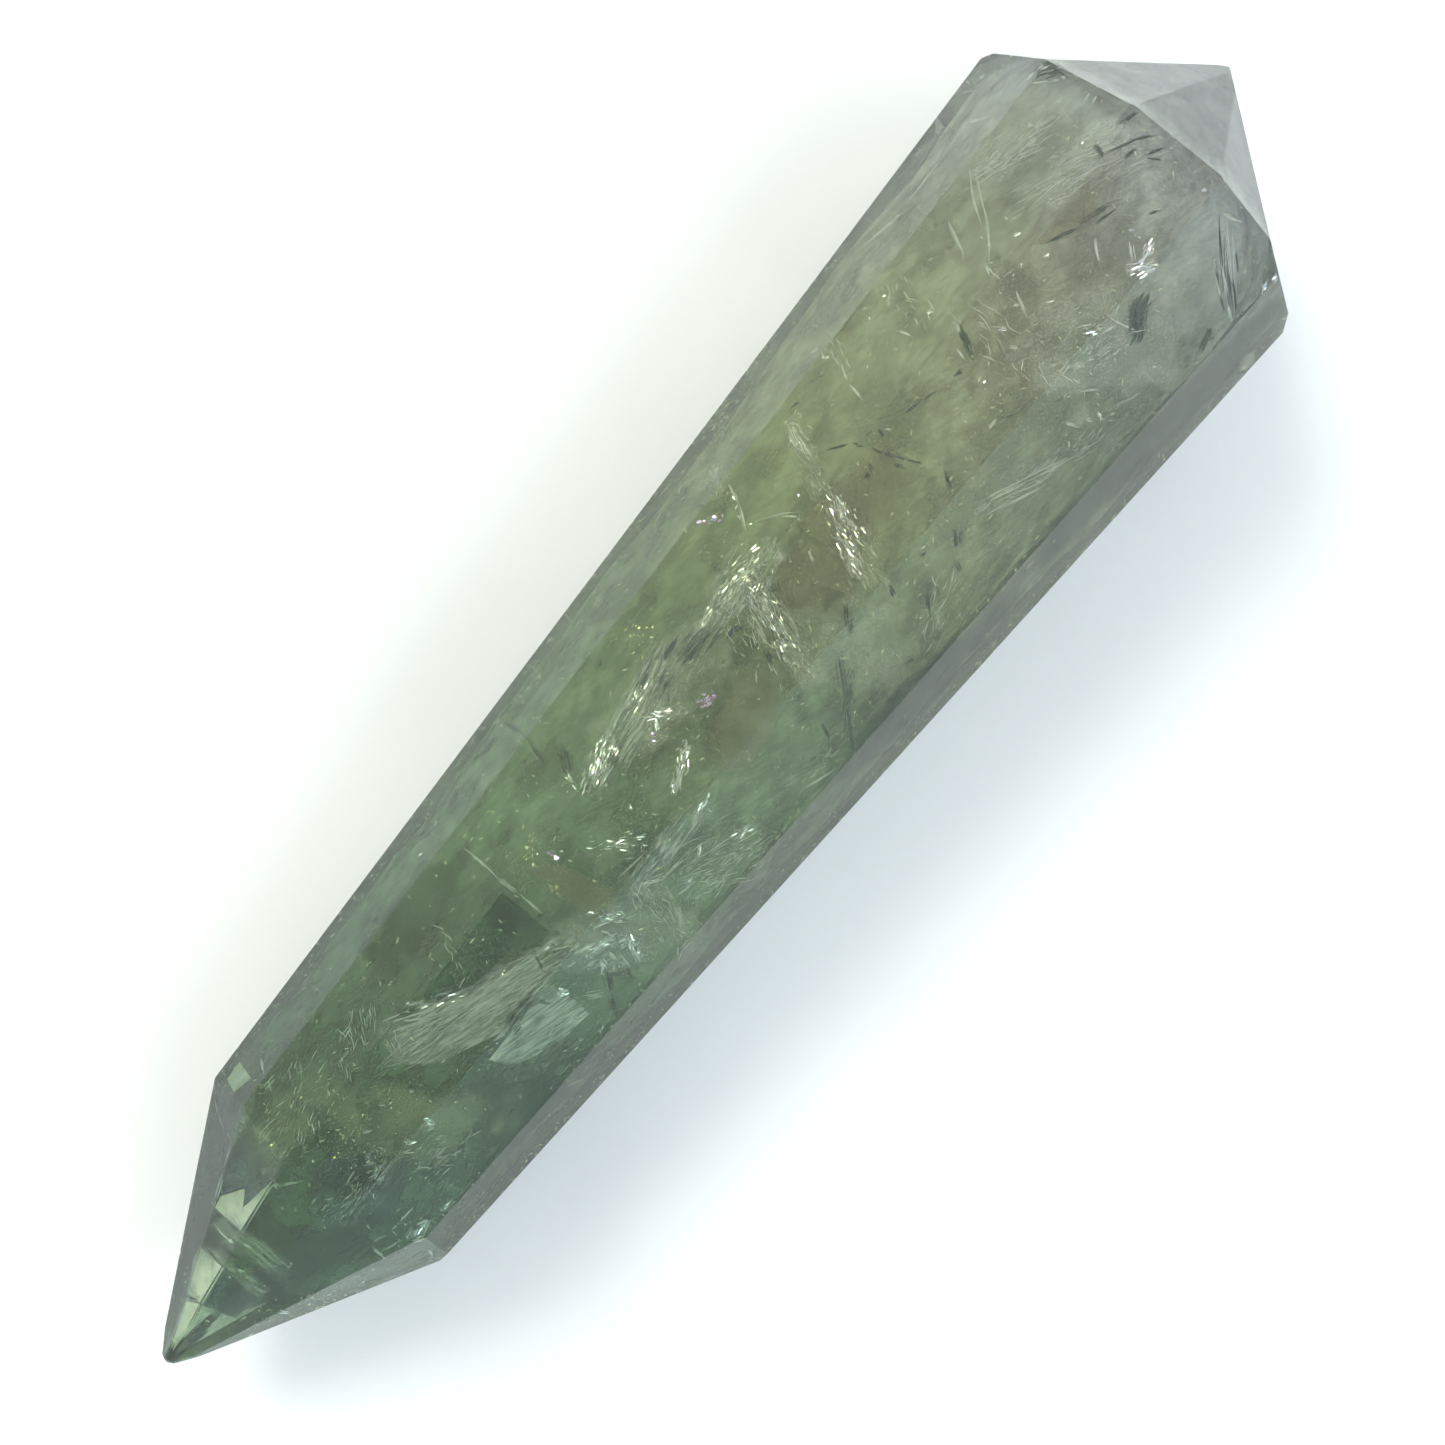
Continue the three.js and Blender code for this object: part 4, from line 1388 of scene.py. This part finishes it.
class WAND_OT_clouds(Operator):
    """Makes the cloudy quartz that fills most of the stone, as three lumpy skins one in another"""

    bl_idname = "wand.clouds"
    bl_label = "Cloudy quartz"

    def execute(self, context):
        for name, (start, end, fill, thin, thick, colours, seed) in CLOUDS.items():
            self.skin(name, start, end, fill, seed)
            settle(context.active_object, cloud_material(name, colours, thin, thick))
        return {"FINISHED"}

    def skin(self, name, start, end, fill, seed):
        """A lumpy body along the axis that follows the stone's own shape, from one distance to another."""
        deselect()
        bpy.ops.mesh.primitive_uv_sphere_add(segments=72, ring_count=120, rotation=(0, math.pi / 2, 0))
        bpy.ops.object.transform_apply(location=True, rotation=True, scale=True)
        piece = bpy.context.active_object
        piece.name = name
        fades = []
        for vertex in piece.data.vertices:
            share = math.acos(max(-1.0, min(1.0, -vertex.co.x))) / math.pi
            along = (start + (end - start) * share) * MM
            axis = Vector((LOW.x + along, 0.0, axis_height(along)))
            out = Vector((0.0, vertex.co.y, vertex.co.z))
            fades.append(smooth(share / POINT_FADE) * smooth((1.0 - share) / CROWN_FADE))
            if out.length < 1e-6:
                vertex.co = axis
                continue
            out.normalize()
            wall = (SURFACE.ray_cast(axis, out)[0] - axis).length
            edge = axis + out * wall
            lumps = noise.noise(edge / COARSE_LUMP + Vector((seed, 0, 0)))
            lumps += 0.5 * noise.noise(edge / FINE_LUMP + Vector((0, seed, 0)))
            close = min(1.0, share / POINT_CLOSE, (1.0 - share) / CROWN_CLOSE)
            reach = min(fill + CLOUD_LUMPS * lumps, MOST_FILL) * wall * close ** 0.5
            vertex.co = axis + out * reach
        fade = piece.data.attributes.new("fade", "FLOAT", "POINT")
        fade.data.foreach_set("value", fades)
        bpy.ops.object.shade_smooth()


class WAND_OT_point_veils(Operator):
    """Makes the pale and the bluish veils that cross the long point"""

    bl_idname = "wand.point_veils"
    bl_label = "Veils in the point"

    def execute(self, context):
        pale = streaked_material(
            "feather_point", "#dfe8d6", "#b4c4b0", 0.5,
            yaw=-86, grain=0.22 * MM, draw=9.0, low=0.40, high=0.66, haze=0.5,
        )
        settle(join("point_veils", sheets("veil", POINT_VEILS)), pale)
        bluish = streaked_material(
            "feather_blue", "#c3d2d3", "#5c7480", 0.75,
            yaw=2, grain=0.3 * MM, draw=5.0, low=0.40, high=0.64,
        )
        settle(join("blue_veils", sheets("veil", BLUE_VEILS)), bluish)
        return {"FINISHED"}


class WAND_OT_panes(Operator):
    """Makes the pale, slate, dark green and brown patches with straight edges"""

    bl_idname = "wand.panes"
    bl_label = "Mirrored patches"

    def execute(self, context):
        for name, rows, material in (
            ("cream_panes", CREAM_PANES, pane_material("pane_cream", "#fdfcee", "#eef0da", 0.9)),
            ("slate_panes", SLATE_PANES, pane_material("pane_slate", "#5d7678", "#3d565c", 0.8)),
            ("dark_panes", DARK_PANES, pane_material("pane_green", "#4f6c54", "#37533f", 0.85)),
            ("brown_panes", BROWN_PANES, pane_material("pane_brown", "#b0a98a", "#949074", 0.5)),
        ):
            settle(join(name, panes("pane", rows)), material)
        return {"FINISHED"}


class WAND_OT_comb_veil(Operator):
    """Makes the whitish comb-like veil that slants across the stone a quarter of the way up"""

    bl_idname = "wand.comb_veil"
    bl_label = "Comb veil"

    def execute(self, context):
        parts = panes("veil", COMB_PANES) + sheets("veil", COMB_VEILS)
        whitish = streaked_material(
            "feather_comb", "#ffffff", "#d2ddd5", 1.0,
            yaw=-17, grain=0.16 * MM, draw=10.0, low=0.42, high=0.60, haze=0.55,
        )
        settle(join("comb_veil", parts), whitish)
        return {"FINISHED"}


class WAND_OT_films(Operator):
    """Makes the streaked films: across the middle, beside the glitter and at the crown end"""

    bl_idname = "wand.films"
    bl_label = "Fracture films"

    def execute(self, context):
        silver = streaked_material(
            "feather_silver", "#f6f8f6", "#93aab4", 0.7,
            yaw=8, grain=0.2 * MM, draw=9.0, low=0.42, high=0.62,
        )
        settle(join("films_lengthwise", sheets("film", LENGTHWISE_FILMS)), silver)
        cream = streaked_material(
            "feather_cream", "#f6f6ea", "#b3bfa2", 0.7,
            yaw=-109, grain=0.2 * MM, draw=9.0, low=0.42, high=0.62,
        )
        settle(join("films_crosswise", sheets("film", CROSSWISE_FILMS)), cream)
        silk = streaked_material(
            "feather_silk", "#eef0ea", "#b4b9ac", 0.62,
            yaw=-22, grain=0.26 * MM, draw=7.0, low=0.42, high=0.64,
        )
        settle(join("films_slanting", sheets("film", SLANTING_FILMS)), silk)
        return {"FINISHED"}


class WAND_OT_stains(Operator):
    """Makes the brown, moss green and milky stained sheets, and the dark green sheets: one a green stain,
    the others painted shade along the -Y side
    """

    bl_idname = "wand.stains"
    bl_label = "Stained sheets"

    def execute(self, context):
        for name, rows, material in (
            ("brown_stains", BROWN_STAINS, pane_material("stain_brown", "#a69f82", "#87836a", 0.4)),
            # Partly painted shade: the long dark green sheets on the -Y side stand for shade.
            ("green_stains_and_shade", GREEN_STAINS_AND_SHADE, pane_material("stain_and_shade_green", "#5b7559", "#3f5a42", 0.6)),
            ("moss_stains", MOSS_STAINS, pane_material("stain_moss", "#bccaa4", "#93a582", 0.4)),
            ("milky_stains", MILKY_STAINS, pane_material("stain_milky", "#e4eadb", "#b9c6b2", 0.35)),
        ):
            settle(join(name, sheets("plate", rows)), material)
        return {"FINISHED"}


class WAND_OT_glitter(Operator):
    """Makes the bright glittering patches, the gold sparks and the tinted scales"""

    bl_idname = "wand.glitter"
    bl_label = "Glitter"

    def execute(self, context):
        spots = swarm(
            70, MIRROR_GLINTS, sizes=(0.08, 0.7), shares=(0.18, 0.4), spread=8, bend=0.06, times=3
        )
        rng = random.Random(73)
        for place in strewn(rng, context.scene.wand_inclusions.scale_count):
            facing = SURFACE.find_nearest(place)[1]
            tilt = turned(0, rng.gauss(0, 12), rng.gauss(0, 12))
            size = 0.05 * 5.0 ** rng.random() * MM
            lie = lying_on(facing, rng.uniform(-70, 70)) @ tilt
            spots.append((place, lie, (size, size * 0.5, size * 0.4), 0))
        settle(
            scatter("glitter", flake_shape(), spots),
            film_material("film_silver", ("#fff6ff", "#f4f0f0", "#dde6f4", "#fdf6f4"), 0.16),
        )
        spots = swarm(71, GOLD_GLINTS, sizes=(0.08, 0.3), shares=(0.7, 0.6), spread=12)
        settle(
            scatter("gold_sparks", flake_shape(), spots),
            film_material("film_gold", ("#fbeab2", "#fff8d6", "#efd88e"), 0.2),
        )
        spots = swarm(72, TINTED_GLINTS, sizes=(0.12, 0.4), shares=(0.7, 0.6), spread=10)
        settle(
            scatter("tinted_scales", flake_shape(), spots),
            film_material("film_tinted", ("#ea8fdc", "#c4a6ff", "#ffd9f6", "#8faaff"), 0.2),
        )
        return {"FINISHED"}


class WAND_OT_specks(Operator):
    """Makes the loose pale specks and short needles all through the stone"""

    bl_idname = "wand.specks"
    bl_label = "Specks and needles"

    def execute(self, context):
        count = context.scene.wand_inclusions.speck_count
        rng = random.Random(80)
        spots = []
        for place in strewn(rng, count):
            size = 0.03 * 4.0 ** rng.random() * MM
            stretch = rng.uniform(1.0, 4.0)
            turn = turned(rng.uniform(0, 360), 0, 0)
            spots.append((place, turn, (size * stretch, size, size), 0))
        settle(
            scatter("specks", speck_shape(), spots),
            grain_material("speck_pale", "#fbf9dc", "#cdd2a6", 0.4),
        )
        spots = swarm(
            81, PALE_NEEDLES, sizes=(0.12, 0.9), shares=(0.07, 0.05), spread=14, bend=0.03, times=2
        )
        spots += swarm(
            83, LONG_STREAKS, sizes=(0.5, 2.4), shares=(0.022, 0.018), spread=5, bend=0.03, times=2
        )
        spots += strands(82, PALE_CRACKS, thick=0.055, spacing=0.05)
        settle(
            scatter("needles", needle_shape(), spots),
            grain_material("needle_pale", "#faf9f6", "#d6ddd6", 0.3),
        )
        return {"FINISHED"}


class WAND_OT_cracks(Operator):
    """Makes the dark cracks and the green mineral tufts"""

    bl_idname = "wand.cracks"
    bl_label = "Dark cracks and tufts"

    def execute(self, context):
        settle(
            scatter("dark_cracks", needle_shape(8), strands(90, DARK_CRACKS, thick=0.075, spacing=0.05)),
            grain_material("crack_dark", "#46574b", "#243029", 0.5),
        )
        settle(
            scatter("navy_cracks", needle_shape(8), strands(91, NAVY_CRACKS, thick=0.09, spacing=0.04)),
            grain_material("crack_navy", "#4a6370", "#2c3f52", 0.5),
        )
        spots = swarm(92, GREEN_TUFTS, sizes=(0.4, 1.5), shares=(0.13, 0.10), spread=9)
        settle(
            scatter("green_tufts", needle_shape(), spots),
            grain_material("tuft_green", "#567252", "#2f4635", 0.5),
        )
        return {"FINISHED"}


class WAND_OT_stage(Operator):
    """Lays the pale floor, sets the soft light and puts the camera where the photo was taken"""

    bl_idname = "wand.stage"
    bl_label = "Floor, light and camera"

    def execute(self, context):
        sizes = context.scene.wand_stage
        deselect()
        bpy.ops.mesh.primitive_plane_add(size=sizes.floor_size, location=(0, 0, -sizes.floor_gap))
        bpy.ops.object.transform_apply(location=True, rotation=True, scale=True)
        floor = context.active_object
        floor.name = "floor"
        floor.data.materials.append(floor_material())
        self.light(context)
        self.camera(context, sizes)
        context.scene.view_settings.view_transform = "Standard"
        context.scene.cycles.transparent_max_bounces = 20
        context.scene.cycles.transmission_bounces = 10
        context.scene.cycles.diffuse_bounces = 2
        context.scene.cycles.max_bounces = 11
        return {"FINISHED"}

    def light(self, context):
        """A white studio all round, with two soft boxes in it."""
        world = bpy.data.worlds.new("studio")
        context.scene.world = world
        world.use_nodes = True
        world.cycles.sampling_method = "NONE"
        tree = world.node_tree
        tree.nodes.clear()
        way = add_node(tree, "ShaderNodeTexCoord").outputs["Generated"]
        split = add_node(tree, "ShaderNodeSeparateXYZ", inputs={"Vector": way})
        height = ramp(tree, split.outputs["Z"], [(0.0, grey(1.0)), (0.55, grey(0.95)), (1.0, grey(0.62))])
        side = add_node(
            tree,
            "ShaderNodeMapRange",
            inputs={"Value": split.outputs["Y"], "From Min": -0.9, "From Max": 0.6},
        )
        tone = ramp(tree, side.outputs[0], [(0.0, linear("#eaf4ff")), (1.0, linear("#fbfaf0"))])
        power = 1.0
        for towards, brightness, width in SOFT_BOXES:
            near = add_node(tree, "ShaderNodeVectorMath", {"operation": "DOT_PRODUCT"}, {0: way, 1: towards})
            edge = [math.cos(math.radians(width / 2 + stray)) for stray in (SOFT_EDGE, 0.0)]
            box = add_node(
                tree,
                "ShaderNodeMapRange",
                inputs={
                    "Value": near.outputs["Value"],
                    "From Min": edge[0],
                    "From Max": edge[1],
                    "To Max": brightness,
                },
            )
            total = add_node(tree, "ShaderNodeMath", {"operation": "ADD"}, {0: power, 1: box.outputs[0]})
            power = total.outputs[0]
        sky = add_node(
            tree,
            "ShaderNodeBackground",
            inputs={"Color": dye(tree, tone, height), "Strength": multiply(tree, power, SKY_STRENGTH)},
        )
        add_node(tree, "ShaderNodeOutputWorld", inputs={"Surface": sky.outputs[0]})

    def camera(self, context, sizes):
        lens = bpy.data.cameras.new("camera")
        lens.sensor_width = 36.0
        lens.lens = sizes.camera_lens
        lens.clip_start = 0.005
        camera = bpy.data.objects.new("camera", lens)
        context.scene.collection.objects.link(camera)
        forward = Vector((math.tan(sizes.camera_lean), math.tan(sizes.camera_tilt), -1.0)).normalized()
        level = Vector((1.0, 0.0, 0.0))
        level = (level - forward * level.dot(forward)).normalized()
        right = Matrix.Rotation(sizes.camera_roll, 3, forward) @ level
        up = right.cross(forward)
        turn = Matrix((right, up, -forward)).transposed()
        camera.matrix_world = Matrix.Translation(sizes.camera_place) @ turn.to_4x4()
        context.scene.camera = camera


class WAND_PT_panel(Panel):
    """Lists the wand's pieces in the sidebar"""

    bl_label = "Prasiolite wand"
    bl_space_type = "VIEW_3D"
    bl_region_type = "UI"
    bl_category = "Wand"

    def draw(self, context):
        for operator in OPERATORS:
            self.layout.operator(operator.bl_idname)
        for name in GROUPS:
            group = getattr(context.scene, name)
            for field in group.__annotations__:
                self.layout.prop(group, field)


OPERATORS = (
    WAND_OT_stone,
    WAND_OT_clouds,
    WAND_OT_panes,
    WAND_OT_point_veils,
    WAND_OT_comb_veil,
    WAND_OT_films,
    WAND_OT_stains,
    WAND_OT_glitter,
    WAND_OT_specks,
    WAND_OT_cracks,
    WAND_OT_stage,
)
GROUPS = {"wand_stone": StoneSizes, "wand_stage": StageSizes, "wand_inclusions": InclusionSizes}
CLASSES = (*GROUPS.values(), *OPERATORS, WAND_PT_panel)


def register():
    for kind in CLASSES:
        bpy.utils.register_class(kind)
    for name, group in GROUPS.items():
        setattr(bpy.types.Scene, name, PointerProperty(type=group))


def unregister():
    for name in GROUPS:
        delattr(bpy.types.Scene, name)
    for kind in reversed(CLASSES):
        bpy.utils.unregister_class(kind)


def main():
    register()
    for operator in OPERATORS:
        getattr(bpy.ops.wand, operator.bl_idname.removeprefix("wand."))()


if __name__ == "__main__":
    main()
